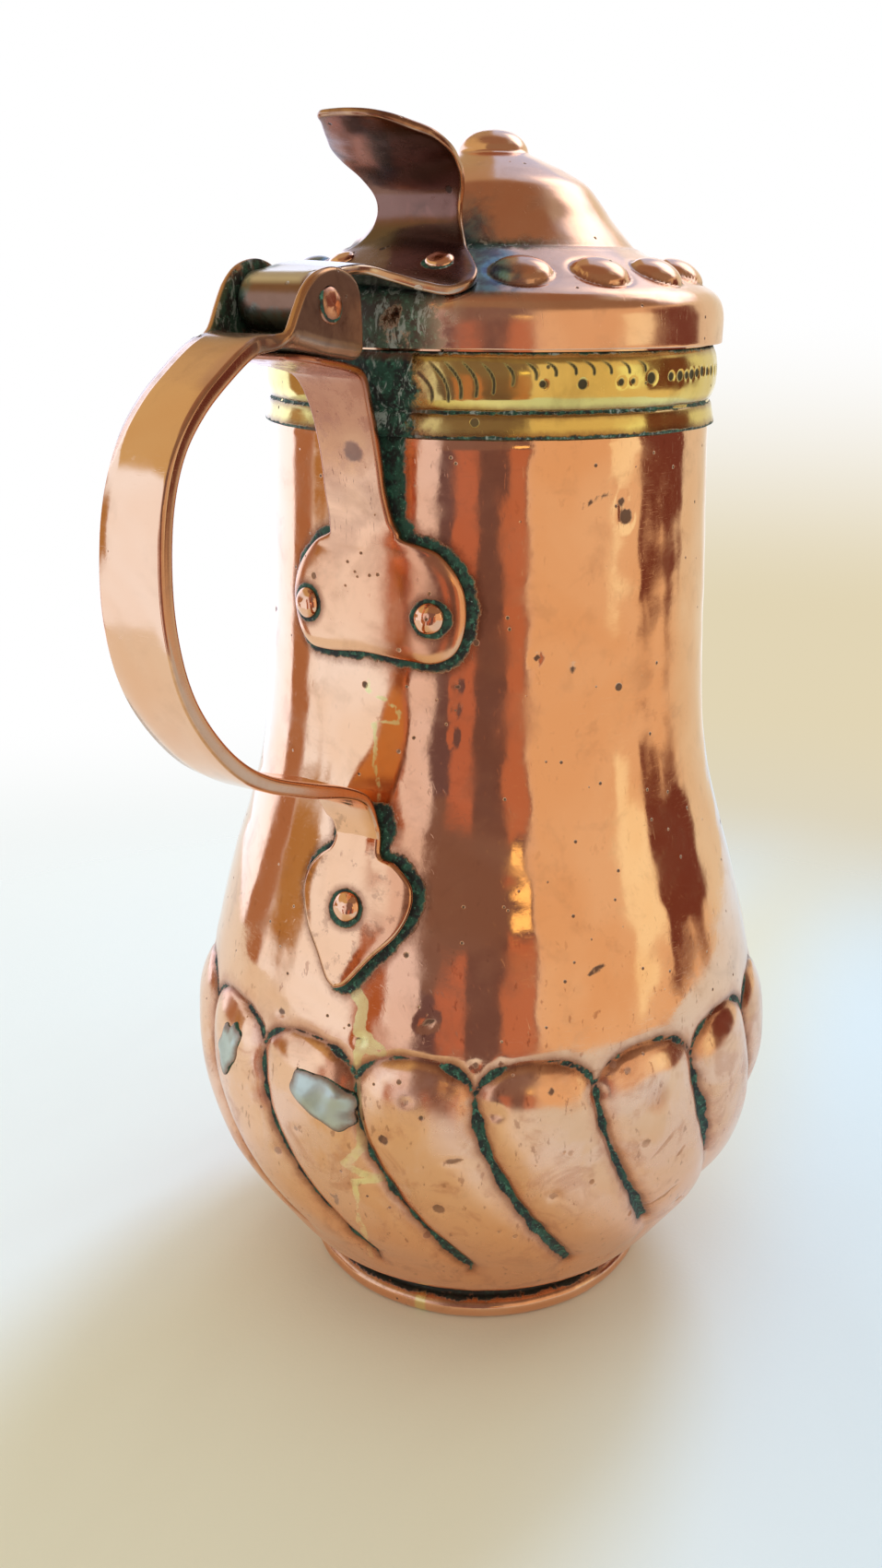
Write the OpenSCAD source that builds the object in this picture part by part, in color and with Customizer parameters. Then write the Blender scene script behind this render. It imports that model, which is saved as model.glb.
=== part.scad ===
// Lidded copper water jug: lobed belly, brass collar, strap handle and a hinged lid with a thumbpiece.
// Millimetres. The origin is the centre of the foot, on the table. +Z is up, the handle is towards -X,
// and the lid's hinge pin lies along Y.

/* [Vessel] */
// Thickness of the beaten copper wall
wall = 1.6; // [1.2:0.1:2]
// Height of the copper rim that the lid closes over
rim_z = 243; // [242:0.5:243.5]
// Number of swirled lobes round the belly
lobes = 16; // [12:1:20]
// How far the crest of a lobe stands out of the wall
lobe_rise = 2.7; // [1:0.1:3.5]
// Angle that a lobe's groove turns through on its way down
lobe_swirl = 22; // [0:1:30]
// Height where neighbouring lobes meet in a cusp
cusp_z = 80.5; // [76:0.5:84]
// Height of the round top of a lobe
lobe_top_z = 89; // [86:0.5:94]

/* [Foot] */
// Outer radius of the rolled foot ring
foot_r = 45.9; // [44:0.1:47]
// Radius of the roll along the foot's lower edge
foot_roll = 2.2; // [1.6:0.1:2.4]

/* [Collar] */
// Height of the brass collar's lower edge
collar_z = 223.1; // [220:0.1:225]
// Height of the brass collar's upper edge
collar_top = 240.4; // [239:0.1:240.4]

/* [Lid] */
// Outer radius of the lid's skirt
skirt_r = 53.6; // [53.4:0.1:54.5]
// Height of the skirt's lower edge with the lid shut
skirt_z = 240.8; // [240.8:0.1:241.5]
// Thickness of the lid's sheet
lid_wall = 1.4; // [1:0.1:1.6]
// Number of raised bosses round the lid
bosses = 13; // [9:1:13]
// Angle between the handle and the first boss on each side
boss_start = 38.8; // [36:0.1:45]

/* [Handle] */
// Width of the handle's strap
handle_w = 15.6; // [14:0.1:18]
// Thickness of the handle's strap
handle_t = 3.4; // [2.4:0.1:4]
// Width over the two ears that hold the hinge pin
ears_w = 20.4; // [19.6:0.1:21.4]
// How far the ears' middle is off the handle's middle, towards -Y
ears_shift = 1.8; // [1.4:0.1:2.2]
// Thickness of an ear
ear_t = 2.2; // [1.8:0.1:2.4]
// Thickness of the riveted terminals
leaf_t = 2.4; // [2:0.1:2.8]

/* [Hinge] */
// Distance from the jug's axis to the hinge pin
hinge_x = 79; // [78:0.1:80]
// Height of the hinge pin
hinge_z = 250; // [249.5:0.1:250.5]
// Radius of the hinge pin
pin_r = 3; // [2.5:0.1:3.2]
// Radius of the rolled barrel
barrel_r = 5.7; // [5.3:0.1:5.8]
// Radial clearance of the pin in the barrel
pin_play = 0.06; // [0.03:0.01:0.1]
// Thickness of the lid's hinge strap and thumbpiece
strap_t = 2; // [1.6:0.1:2.2]

/* [Hidden] */
$fn = 96;
gap = 0.15;              // seam between riveted or soldered sheets
rivet_r = 2.4;           // shank of the body rivets
rivet_head_r = 3.4;
rivet_head_h = 2.2;
lid_rivet_r = 1.8;
lid_rivet_head_r = 3.1;
tail_h = 0.9;            // hammered tail of a rivet
hole_play = 0.1;         // between a rivet's shank and its hole
steps = 6;               // divisions of each stretch of a smooth outline
columns = lobes * 4;     // vertical edges round the vessel

// Height and radius along the plain wall, without lobes
wall_line = [[8.4, 43.5], [9.4, 47.8], [12, 51.6], [20, 56.6], [36, 64.6], [50, 70], [66, 72.6], [80, 71.7],
    [94, 69.4], [114, 64.3], [128, 59.9], [140, 56.7], [156, 54.3], [180, 53], [222, 51.5]];
neck_r = 50.7;           // copper neck inside the collar

// Height and radius along the lid, from the skirt's shoulder to the foot of the knob
cone_outer = [51.4, 251.9];
cone_inner = [33.2, 260.8];
dome_line = [[32.8, 261], [30.4, 262.9], [27.3, 266.7], [24.2, 271.2], [21.2, 274.5], [16.5, 277.2], [11.8, 279.4],
    [7.8, 281.2]];
knob_r = 7.8;
knob_z = 286;
cone_slope = (cone_inner[1] - cone_outer[1]) / (cone_outer[0] - cone_inner[0]);
cone_tilt = atan(cone_slope);
boss_ring_r = 44;
boss_r = 6.6;
boss_h = 3.1;

// ---------- smooth curves ----------

// Point at t between p1 and p2 on a smooth curve that also looks at the neighbours p0 and p3
function blend4(p0, p1, p2, p3, t) =
    0.5 * (2 * p1 + (p2 - p0) * t + (2 * p0 - 5 * p1 + 4 * p2 - p3) * pow(t, 2)
    + (3 * p1 - p0 - 3 * p2 + p3) * pow(t, 3));
// Smooth open curve through the points
function open_curve(p, n = steps) = let (m = len(p) - 1) concat(
    [for (i = [0:m - 1]) for (k = [0:n - 1])
        blend4(p[max(i - 1, 0)], p[i], p[i + 1], p[min(i + 2, m)], k / n)],
    [p[m]]);
// Smooth closed curve through the points
function closed_curve(p, n = steps) = let (m = len(p))
    [for (i = [0:m - 1]) for (k = [0:n - 1])
        blend4(p[(i + m - 1) % m], p[i], p[(i + 1) % m], p[(i + 2) % m], k / n)];
function unit(v) = v / norm(v);
function backwards(p) = [for (i = [len(p) - 1:-1:0]) p[i]];
// Unit normal to the left of an open curve at its point i
function side(p, i) = let (d = unit(p[min(i + 1, len(p) - 1)] - p[max(i - 1, 0)])) [-d[1], d[0]];
// Outline of a sheet bent along a curve, with thickness t0 at its start and t1 at its end
function bent_sheet(p, t0, t1) = let (n = len(p) - 1) concat(
    [for (i = [0:n]) p[i] + side(p, i) * (t0 + (t1 - t0) * i / n) / 2],
    [for (i = [n:-1:0]) p[i] - side(p, i) * (t0 + (t1 - t0) * i / n) / 2]);

// ---------- vessel wall ----------

function stretch(p, z, i = 0) = (i >= len(p) - 2 || z < p[i + 1][0]) ? i : stretch(p, z, i + 1);
function grade(p, i) = let (a = max(i - 1, 0), b = min(i + 1, len(p) - 1))
    (p[b][1] - p[a][1]) / (p[b][0] - p[a][0]);
// Radius of the plain wall at height z: a cubic between the points of wall_line
function plain_r(z) = z > 222 ? max(neck_r, 51.5 - 0.35 * (z - 222)) : let (
    i = stretch(wall_line, z),
    h = wall_line[i + 1][0] - wall_line[i][0],
    t = (z - wall_line[i][0]) / h)
    wall_line[i][1] * (2 * pow(t, 3) - 3 * pow(t, 2) + 1)
    + h * grade(wall_line, i) * (pow(t, 3) - 2 * pow(t, 2) + t)
    + wall_line[i + 1][1] * (3 * pow(t, 2) - 2 * pow(t, 3))
    + h * grade(wall_line, i + 1) * (pow(t, 3) - pow(t, 2));
function wall_grade(z) = (plain_r(z + 0.2) - plain_r(z - 0.2)) / 0.4;
function clamp01(x) = min(1, max(0, x));
function ease(x) = let (t = clamp01(x)) t * t * (3 - 2 * t);
// Turn of the grooves at height z
function drift(z) = lobe_swirl * pow(clamp01((cusp_z - z) / 52), 1.6);
// Height of a lobe's pillow at height z, where u runs from -1 to 1 between its two grooves
function pillow(z, u) = let (top = cusp_z + (lobe_top_z - cusp_z) * sqrt(max(0, 1 - u * u)))
    (1 - pow(abs(u), 3)) * ease((top - z) / 8) * ease((z - 16) / 24);
first_cusp = 210;        // angle of one of the cusps round +Z
// Point on the wall, moved inwards by d, for column k of the vessel
function wall_point(z, k, d) = let (
    u = 2 * ((k % 4) / 4) - 1,
    a = first_cusp + 360 * k / columns + drift(z),
    s = wall_grade(z),
    n = sqrt(1 + s * s),
    r = plain_r(z) + lobe_rise * pillow(z, u) - d / n)
    [r * cos(a), r * sin(a), z + d * s / n];
outer_rows = concat([8.4, 9.4, 10.6, 12.5, 15.5, 19, 23.5], [for (z = [28:4:88]) z],
    [91, 95, 100, 106, 112, 118, 124, 130, 136, 142, 149, 157, 168, 182, 202, 222, 224.3, rim_z]);
inner_rows = concat([8.4, 9.4, 12.5, 18], [for (z = [26:7:89]) z],
    [97, 108, 118, 128, 138, 148, 160, 182, 222, rim_z]);

// The wall's skin as one ring of rows: up the outside and down the inside
module wall_skin(grow = 0) {
    rows = concat([for (z = outer_rows) [z, -grow]], [for (z = backwards(inner_rows)) [z, wall]]);
    n = len(rows);
    points = [for (row = rows) for (k = [0:columns - 1]) wall_point(row[0], k, row[1])];
    faces = [for (j = [0:n - 1]) for (k = [0:columns - 1]) for (half = [0, 1])
        let (a = j * columns + k, b = j * columns + (k + 1) % columns,
            c = ((j + 1) % n) * columns + k, d = ((j + 1) % n) * columns + (k + 1) % columns)
        half == 0 ? [a, c, b] : [b, c, d]];
    polyhedron(points = points, faces = faces, convexity = 8);
}

// Puts its children on the outside of the wall at height z and angle a, with +Z straight out of it
module on_wall(z, a) {
    translate([plain_r(z) * cos(a), plain_r(z) * sin(a), z])
        rotate([0, 90 + atan(wall_grade(z)), a]) children();
}

// A sheet of thickness t that lies on the vessel between two heights
module wall_sheet(z0, z1, t) {
    zs = [for (z = [z0:2:z1]) z];
    rotate_extrude()
        polygon(concat([for (z = zs) [plain_r(z) + gap, z]], [for (z = backwards(zs)) [plain_r(z) + gap + t, z]]));
}

// Rivet with its head's underside at z = 0: domed head above, shank and hammered tail below
module rivet(shank_r, head_r, head_h, grip) {
    ball_r = (head_r * head_r + head_h * head_h) / (2 * head_h);
    intersection() {
        translate([0, 0, head_h - ball_r]) sphere(ball_r);
        cylinder(r = head_r + 1, h = head_h + 1);
    }
    translate([0, 0, -grip - tail_h / 2]) cylinder(r = shank_r, h = grip + tail_h / 2 + 0.2);
    translate([0, 0, -grip - tail_h]) cylinder(r1 = shank_r + 0.3, r2 = head_r - 0.4, h = tail_h);
}

bracket_z = 186;         // height of the bracket's two rivets
bracket_spread = 16.4;   // angle from the bracket's middle to each rivet
bracket_turn = 181.6;    // angle of the bracket's middle
bracket_t = 2.6;
leaf_z = 120;
leaf_turn = 182.8;       // angle of the handle's lower rivet

module wall_holes() {
    for (s = [-1, 1]) on_wall(bracket_z, bracket_turn + s * bracket_spread)
        translate([0, 0, -6]) cylinder(r = rivet_r + hole_play, h = 12);
    on_wall(leaf_z, leaf_turn) translate([0, 0, -6]) cylinder(r = rivet_r + hole_play, h = 12);
}

module body_shell() {
    color([0.80, 0.50, 0.37]) difference() {
        wall_skin();
        wall_holes();
    }
}

module base_disc() {
    disc_r = 42.9;
    color([0.76, 0.46, 0.34]) translate([0, 0, 8.5]) cylinder(r = disc_r, h = wall);
}

module foot_ring() {
    mid_r = foot_r - foot_roll;
    color([0.78, 0.46, 0.33]) rotate_extrude() union() {
        intersection() {
            translate([mid_r, foot_roll - 0.3]) circle(foot_roll, $fn = 48);
            translate([mid_r - 4, 0]) square([8, 6]);
        }
        polygon([[mid_r - 0.6, 2.5], [mid_r + 1.3, 2.9], [mid_r + 0.6, 6.2], [mid_r - 1, 8.2], [38.5, 8.2],
            [38.5, 7], [mid_r - 1.8, 7], [mid_r - 0.8, 6]]);
    }
}

module collar() {
    bead = open_curve([[51.5, 229], [52.4, 230.4], [52.9, 233.8], [52.7, 237.6], [51.9, collar_top]]);
    color([0.83, 0.70, 0.32]) rotate_extrude()
        polygon(concat([[neck_r + 0.1, 226.2], [51.75, collar_z], [52.8, collar_z], [52.4, 226], [52.1, 228.4]],
            bead, [[neck_r + 0.1, collar_top]]));
}

// A lump of solder: rounded caps run together, cut back to the vessel's skin
module solder_lump(z, a, turn, long, wide) {
    on_wall(z, a) rotate([0, 0, turn]) hull() for (s = [-1, 1])
        translate([s * (long - wide) / 2, 0, -wide / 8]) sphere(d = wide, $fn = 24);
}

module solder_repairs() {
    color([0.60, 0.62, 0.62]) difference() {
        solder_lump(77.5, 180.8, 62, 17, 9);
        wall_solid();
    }
    color([0.60, 0.62, 0.62]) difference() {
        solder_lump(75.5, 156, 165, 16, 8);
        wall_solid();
    }
}

// The vessel filled in and grown by the solder's seam, only round the lobes
module wall_solid() {
    zs = [for (z = [52:4:100]) z];
    n = len(zs);
    points = concat([for (z = zs) for (k = [0:columns - 1]) wall_point(z, k, -0.1)],
        [[0, 0, zs[0]], [0, 0, zs[n - 1]]]);
    sides = [for (j = [0:n - 2]) for (k = [0:columns - 1]) for (half = [0, 1])
        let (a = j * columns + k, b = j * columns + (k + 1) % columns, c = a + columns, d = b + columns)
        half == 0 ? [a, c, b] : [b, c, d]];
    low = [for (k = [0:columns - 1]) [n * columns, k, (k + 1) % columns]];
    high = [for (k = [0:columns - 1]) let (t = (n - 1) * columns)
        [n * columns + 1, t + (k + 1) % columns, t + k]];
    polyhedron(points = points, faces = concat(sides, low, high), convexity = 6);
}

// ---------- handle and bracket ----------

// Distance from the axis and height along the middle of the handle's strap, from the ears to its neck
handle_line = [[67.8, 240.1], [79, 241.5], [86.5, 243], [91.5, 243.4], [96.8, 241.9], [103.2, 238.2], [110.6, 232.8],
    [116.6, 226], [120.3, 217.2], [121.9, 206.5], [121.6, 195.5], [119, 184.6], [114, 175.4], [105.6, 166],
    [96.1, 159.6], [82, 154], [70, 150], [62.6, 146.2], [59.7, 141.6], [59.1, 137]];
ear_end = 91;            // distance from the axis where the ears' floor narrows to the strap
ear_near = -ears_shift - ears_w / 2;    // outer faces of the two ears
ear_far = -ears_shift + ears_w / 2;
barrel_w = ears_w - 2 * ear_t - 0.8;

// Heart-shaped lower terminal, as offsets across and up from its rivet
leaf_outline = [[0, -17.8], [-2.6, -16.2], [-6, -11], [-10, -5.5], [-12.6, 1], [-12.2, 6], [-9.4, 10], [-6.2, 12],
    [-5.6, 15.5], [-5.8, 19], [5.8, 19], [5.6, 15.5], [6.2, 12], [10, 11], [14.2, 7], [15, 2], [12.8, -4], [7.6, -10],
    [2.8, -16.2]];

// Bracket plate, as offsets across and up from the middle between its rivets
plate_outline = [[-7.8, 18.5], [-8.6, 16.6], [-14.6, 13.6], [-19.6, 8], [-21.6, 1.5], [-19.8, -5.5], [-16, -9.4],
    [-10, -9.9], [0, -9], [10, -9.8], [16.6, -10], [21, -7], [22.6, 0], [21.4, 7.4], [16.6, 13.6], [9, 16.4],
    [7.8, 18.5]];

// Side view of the bracket's strap, from the plate up to its flange under the handle
bracket_line = [[53.9, 199], [54, 206], [54.8, 214], [56.7, 222.5], [59.6, 230.5], [63.6, 236], [69.6, 237.9],
    [78, 239.2], [85, 240.4]];

// Cuts a terminal's outline out of a sheet that lies on the vessel
module wall_terminal(outline, z, a, z0, z1, t) {
    intersection() {
        wall_sheet(z0, z1, t);
        rotate([0, 0, a]) translate([0, 0, z]) rotate([90, 0, 90])
            linear_extrude(90) polygon(closed_curve(outline, 4));
    }
}

module handle_loop() {
    rotate([90, 0, 0]) linear_extrude(handle_w, center = true)
        polygon([for (p = bent_sheet(open_curve(handle_line), leaf_t, leaf_t)) [-p[0], p[1]]]);
    // the loop is thicker than its two ends
    rotate([90, 0, 0]) linear_extrude(handle_w, center = true)
        polygon([for (p = bent_sheet(open_curve([for (i = [3:16]) handle_line[i]]), handle_t, handle_t))
            [-p[0], p[1]]]);
}

// Cuts the strap down to its neck, seen from the front
module neck_shape() {
    rotate([90, 0, -90]) translate([0, 0, 50]) linear_extrude(90)
        polygon([[-40, 149], [-handle_w / 2, 149], [-handle_w / 2, 145], [-5.5, 140], [-3.6, 136], [-3.4, 130],
            [8.2, 130], [8.2, 136], [8, 140], [handle_w / 2, 145], [handle_w / 2, 149], [40, 149], [40, 260],
            [-40, 260]]);
}

// Side view of an ear above the floor, from the handle's side over the top to the lid's side
ear_outline = [[-91.5, 242.6], [-90.4, 245.4], [-88.6, 249], [-86.2, 252.4], [-82.6, 255.2], [-78, 256.4],
    [-73.6, 256], [-70.2, 254.4], [-68.4, 251.6], [-67.8, 247.6], [-67.7, 243], [-67.8, 239]];

// One ear; rise makes it taller than the outline
module ear(rise) {
    rotate([90, 0, 0]) linear_extrude(ear_t, center = true)
        polygon(concat([for (p = open_curve(ear_outline, 3)) [p[0], p[1] + rise * max(0, p[1] - 243) / 13]],
            [[-79, 240.3], [-86.5, 241.8]]));
}

module ear_floor() {
    floor_line = [for (i = [0:4]) handle_line[i]];
    intersection() {
        rotate([90, 0, 0]) linear_extrude(ears_w + 6, center = true)
            polygon([for (p = bent_sheet(open_curve(floor_line), leaf_t, leaf_t)) [-p[0], p[1]]]);
        translate([0, 0, 230]) linear_extrude(20)
            polygon([[-60, ear_near], [-ear_end + 1, ear_near], [-ear_end - 4, -handle_w / 2],
                [-ear_end - 4, handle_w / 2], [-ear_end + 1, ear_far], [-60, ear_far]]);
    }
}

module handle() {
    color([0.82, 0.54, 0.38]) difference() {
        union() {
            intersection() {
                handle_loop();
                neck_shape();
            }
            ear_floor();
            translate([0, ear_near + ear_t / 2, 0]) ear(0);
            translate([0, ear_far - ear_t / 2, 0]) ear(1.4);
            wall_terminal(leaf_outline, leaf_z, leaf_turn, 96, 140, leaf_t);
        }
        translate([-hinge_x, 0, hinge_z]) rotate([90, 0, 0])
            cylinder(r = pin_r + 0.05, h = ears_w + 4, center = true);
        on_wall(leaf_z, leaf_turn) cylinder(r = rivet_r + hole_play, h = 8);
        // the neck stays off the vessel
        rotate_extrude() polygon(concat([[0, 96]], [for (z = [96:2:160]) [plain_r(z) + gap, z]], [[0, 160]]));
    }
}

module strap_bracket() {
    color([0.80, 0.52, 0.40]) difference() {
        union() {
            wall_terminal(plate_outline, bracket_z, bracket_turn, 172, 208, bracket_t);
            intersection() {
                rotate([90, 0, 0]) linear_extrude(40, center = true)
                    polygon([for (p = bent_sheet(open_curve(bracket_line), bracket_t, 1.6)) [-p[0], p[1]]]);
                translate([0, 0, 190]) linear_extrude(60)
                    polygon([[-50, -8], [-60, -8], [-66, -9], [-84, -10], [-86.5, -6], [-86.5, 6], [-84, 10],
                        [-66, 9], [-60, 8], [-50, 8]]);
            }
        }
        for (s = [-1, 1]) on_wall(bracket_z, bracket_turn + s * bracket_spread)
            cylinder(r = rivet_r + hole_play, h = 8);
        rotate_extrude() polygon(concat([[0, 170]], [for (z = [170:2:220]) [plain_r(z) + gap, z]], [[0, 220]]));
    }
}

module wall_rivet(z, a, t) {
    on_wall(z, a) translate([0, 0, gap + t + 0.1])
        rivet(rivet_r, rivet_head_r, rivet_head_h, gap + t + wall + 0.5);
}

module bracket_rivets() {
    color([0.84, 0.56, 0.42]) wall_rivet(bracket_z, bracket_turn - bracket_spread, bracket_t);
    color([0.84, 0.56, 0.42]) wall_rivet(bracket_z, bracket_turn + bracket_spread, bracket_t);
}

module handle_rivet() {
    color([0.84, 0.56, 0.42]) wall_rivet(leaf_z, leaf_turn, leaf_t);
}

module hinge_pin() {
    head_h = 1.2;
    head_r = 3.6;
    half = ears_w / 2 + 0.1;
    color([0.70, 0.42, 0.30]) translate([-hinge_x, -ears_shift, hinge_z]) rotate([90, 0, 0]) {
        cylinder(r = pin_r, h = 2 * half + 0.2, center = true);
        for (s = [0, 180]) rotate([s, 0, 0]) translate([0, 0, half]) cylinder(r1 = head_r, r2 = head_r - 0.9, h = head_h);
    }
}

// ---------- lid ----------

// Outside of the lid, from the skirt's lower edge to the top of the knob
lid_line = concat(
    [[skirt_r, skirt_z], [skirt_r - 0.1, 248]],
    open_curve([[53.4, 249.4], [52.8, 250.9], cone_outer], 3),
    [cone_inner],
    open_curve(dome_line, 4),
    open_curve([[knob_r, 281.8], [7.2, 283.4], [5.3, 285], [2.8, 285.8], [0, knob_z]], 3));

// Inside of the lid: the same line moved in by the thickness of the sheet
function lid_inside(t) = concat(
    [[skirt_r - t, skirt_z - 1], [skirt_r - 0.1 - t, 248]],
    [[52.6 - t, 250.2 - t * 0.6], [cone_outer[0] - t * 0.6, cone_outer[1] - t]],
    [[cone_inner[0] - t * 0.5, cone_inner[1] - t * 1.05]],
    open_curve([for (p = dome_line) [p[0] - t * 0.7, p[1] - t * 0.9]], 4),
    [[0, dome_line[7][1] - t * 0.6]]);

module boss_balls(shrink) {
    ball_r = (boss_r * boss_r + boss_h * boss_h) / (2 * boss_h);
    cone_z = cone_outer[1] + (cone_outer[0] - boss_ring_r) * cone_slope;
    pitch = (360 - 2 * boss_start) / (bosses - 1);
    for (i = [0:bosses - 1]) rotate([0, 0, 180 + boss_start + i * pitch])
        translate([boss_ring_r, 0, cone_z]) rotate([0, cone_tilt, 0])
            translate([0, 0, boss_h - ball_r]) sphere(ball_r - shrink, $fn = 48);
}

// Puts its children on the lid's sloping ring at angle a, with +Z straight out of it
module on_lid(r, a) {
    rotate([0, 0, a]) translate([r, 0, cone_outer[1] + (cone_outer[0] - r) * cone_slope])
        rotate([0, cone_tilt, 0]) children();
}

lid_rivet_ring = 43.6;
lid_rivet_spread = 16.4;

module lid_shell() {
    color([0.78, 0.52, 0.42]) difference() {
        union() {
            rotate_extrude() polygon(concat(lid_line, [[0, skirt_z]]));
            boss_balls(0);
        }
        rotate_extrude() polygon(concat(lid_inside(lid_wall), [[0, skirt_z - 1]]));
        intersection() {
            boss_balls(lid_wall);
            rotate_extrude() polygon(concat(lid_line, [[0, skirt_z]]));
        }
        for (s = [-1, 1]) on_lid(lid_rivet_ring, 180 + s * lid_rivet_spread)
            translate([0, 0, -4]) cylinder(r = lid_rivet_r + hole_play, h = 8);
    }
}

// Plan of the hinge strap and its two lobes, on the -Y side and on the +Y side of the middle
strap_plan = [[79, 9.4], [70, 9], [64, 8.4], [59, 10.4], [54, 15.6], [49.4, 20.8], [45.6, 22.6], [41.6, 21.6],
    [37.4, 18], [34, 13.6], [31.5, 11.5]];
strap_plan_far = [[79, 5.8], [70, 5.7], [64, 5.6], [60, 7], [57, 10.4], [53.6, 15.4], [49.4, 20.8], [45.6, 22.6],
    [41.6, 21.6], [37.4, 18], [34, 13.6], [31.5, 11.5]];
// Side view of the sheet from the lid's ring up through the thumbpiece
thumb_line = [[40, 258.7], [36.5, 260.6], [33.4, 262.9], [31.6, 266], [31.2, 269.4], [32.4, 273], [36.2, 276.7],
    [42.5, 279.8], [48, 282], [53.3, 284.3]];
// Front view of the thumbpiece: height and half width
thumb_front = [[257, 13.5], [262, 12.6], [265, 10.8], [268, 10], [272, 11.2], [275.5, 13], [278.5, 13.6],
    [281.3, 11.8], [283.4, 10], [285.4, 8.2], [287, 7.6]];

// Side view of the sheet between the barrel and the lobes
strap_side = concat(
    open_curve([[-79, 255.7], [-73, 256.6], [-67, 257.3], [-61, 257.4], [-56.4, 256.2], [-52, 254.7]], 3),
    [[-48.6, 255.4], [-48.6, 253.5], [-51, 252.6]],
    open_curve([[-55, 253.5], [-60, 255], [-67, 254.9], [-73, 254.3], [-79, 253.6]], 3));

module lid_strap() {
    plan = open_curve(strap_plan, 4);
    far = open_curve(strap_plan_far, 4);
    front = open_curve(thumb_front, 4);
    cone_at = cone_outer[1] + gap;
    color([0.60, 0.38, 0.30]) difference() {
        union() {
            // rolled barrel
            translate([-hinge_x, -ears_shift, hinge_z]) rotate([90, 0, 0])
                cylinder(r = barrel_r, h = barrel_w, center = true);
            // strap between barrel and lid
            intersection() {
                rotate([90, 0, 0]) linear_extrude(46, center = true)
                    polygon(strap_side);
                strap_outline(plan, far);
            }
            // lobes that lie on the lid's sloping ring
            intersection() {
                rotate_extrude() polygon([[cone_outer[0] + 1, cone_at - 0.3], [cone_inner[0], cone_inner[1] + gap],
                    [cone_inner[0], cone_inner[1] + gap + 2.2], [cone_outer[0] + 1, cone_at + 1.7]]);
                strap_outline(plan, far);
            }
            // thumbpiece
            intersection() {
                rotate([90, 0, 0]) linear_extrude(40, center = true)
                    polygon([for (p = bent_sheet(open_curve(thumb_line), strap_t, strap_t)) [-p[0], p[1]]]);
                rotate([90, 0, -90]) translate([0, 0, 20]) linear_extrude(50)
                    polygon(concat([for (p = front) [p[1], p[0]]], [for (p = backwards(front)) [-p[1], p[0]]]));
            }
        }
        translate([-hinge_x, 0, hinge_z]) rotate([90, 0, 0])
            cylinder(r = pin_r + pin_play, h = 30, center = true);
        for (s = [-1, 1]) on_lid(lid_rivet_ring, 180 + s * lid_rivet_spread)
            cylinder(r = lid_rivet_r + hole_play, h = 6);
    }
}

module strap_outline(near, far) {
    translate([0, 0, 245]) linear_extrude(25)
        polygon(concat([for (p = far) [-p[0], p[1]]], [for (p = backwards(near)) [-p[0], -p[1]]]));
}

module lid_rivet(side) {
    on_lid(lid_rivet_ring, 180 + side * lid_rivet_spread) translate([0, 0, 2.5])
        rivet(lid_rivet_r, lid_rivet_head_r, 1.3, 2.5 + lid_wall + 0.3);
}

module lid_rivets() {
    color([0.80, 0.52, 0.40]) lid_rivet(-1);
    color([0.80, 0.52, 0.40]) lid_rivet(1);
}

body_shell();
base_disc();
foot_ring();
collar();
solder_repairs();
strap_bracket();
bracket_rivets();
handle();
handle_rivet();
hinge_pin();
lid_shell();
lid_strap();
lid_rivets();
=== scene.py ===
"""Looks of the lidded copper jug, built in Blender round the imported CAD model.

Shapes are written in millimetres and turned into metres when a mesh is made. The frame is the
CAD model's: the origin is the centre of the foot, +Z is up and the handle is towards -X.
"""

import math

import bmesh
import bpy
import numpy as np
from mathutils import Matrix, Vector
from mathutils.geometry import delaunay_2d_cdt
from mathutils.kdtree import KDTree


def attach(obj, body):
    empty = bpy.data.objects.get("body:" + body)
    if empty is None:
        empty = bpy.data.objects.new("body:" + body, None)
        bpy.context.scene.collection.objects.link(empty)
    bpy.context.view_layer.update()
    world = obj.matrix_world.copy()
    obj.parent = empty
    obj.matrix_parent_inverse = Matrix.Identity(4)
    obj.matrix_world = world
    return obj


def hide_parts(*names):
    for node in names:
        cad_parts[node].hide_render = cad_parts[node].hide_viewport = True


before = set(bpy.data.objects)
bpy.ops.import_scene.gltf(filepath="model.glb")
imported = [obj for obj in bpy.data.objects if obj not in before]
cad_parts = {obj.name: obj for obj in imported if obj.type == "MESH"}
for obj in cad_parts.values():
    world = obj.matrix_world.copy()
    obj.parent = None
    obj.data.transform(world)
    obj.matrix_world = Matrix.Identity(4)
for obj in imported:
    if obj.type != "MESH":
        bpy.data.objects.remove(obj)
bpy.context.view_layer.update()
MM = 0.001
rng = np.random.default_rng(7)
EASY_PAIRS = 4e7  # more pairs of points than this are not compared

# ---------------------------------------------------------------- curves and fields


def smooth(points, n=8, closed=False):
    """Catmull-Rom curve through the points."""
    p = np.asarray(points, float)
    m = len(p)
    spans = m if closed else m - 1
    out = []
    t = np.arange(n)[:, None] / n
    for i in range(spans):
        if closed:
            a, b, c, d = p[(i - 1) % m], p[i], p[(i + 1) % m], p[(i + 2) % m]
        else:
            a, b, c, d = p[max(i - 1, 0)], p[i], p[i + 1], p[min(i + 2, m - 1)]
        out.append(0.5 * (2 * b + (c - a) * t + (2 * a - 5 * b + 4 * c - d) * t**2
                          + (3 * b - a - 3 * c + d) * t**3))
    if not closed:
        out.append(p[-1:])
    return np.concatenate(out)


def even(points, step, closed=False):
    """The same line with points a step apart."""
    p = np.asarray(points, float)
    if closed:
        p = np.concatenate([p, p[:1]])
    s = np.concatenate([[0], np.cumsum(np.linalg.norm(np.diff(p, axis=0), axis=1))])
    n = max(3, int(round(s[-1] / step)))
    t = np.linspace(0, s[-1], n + 1)
    q = np.stack([np.interp(t, s, p[:, k]) for k in range(p.shape[1])], 1)
    return q[:-1] if closed else q


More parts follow.
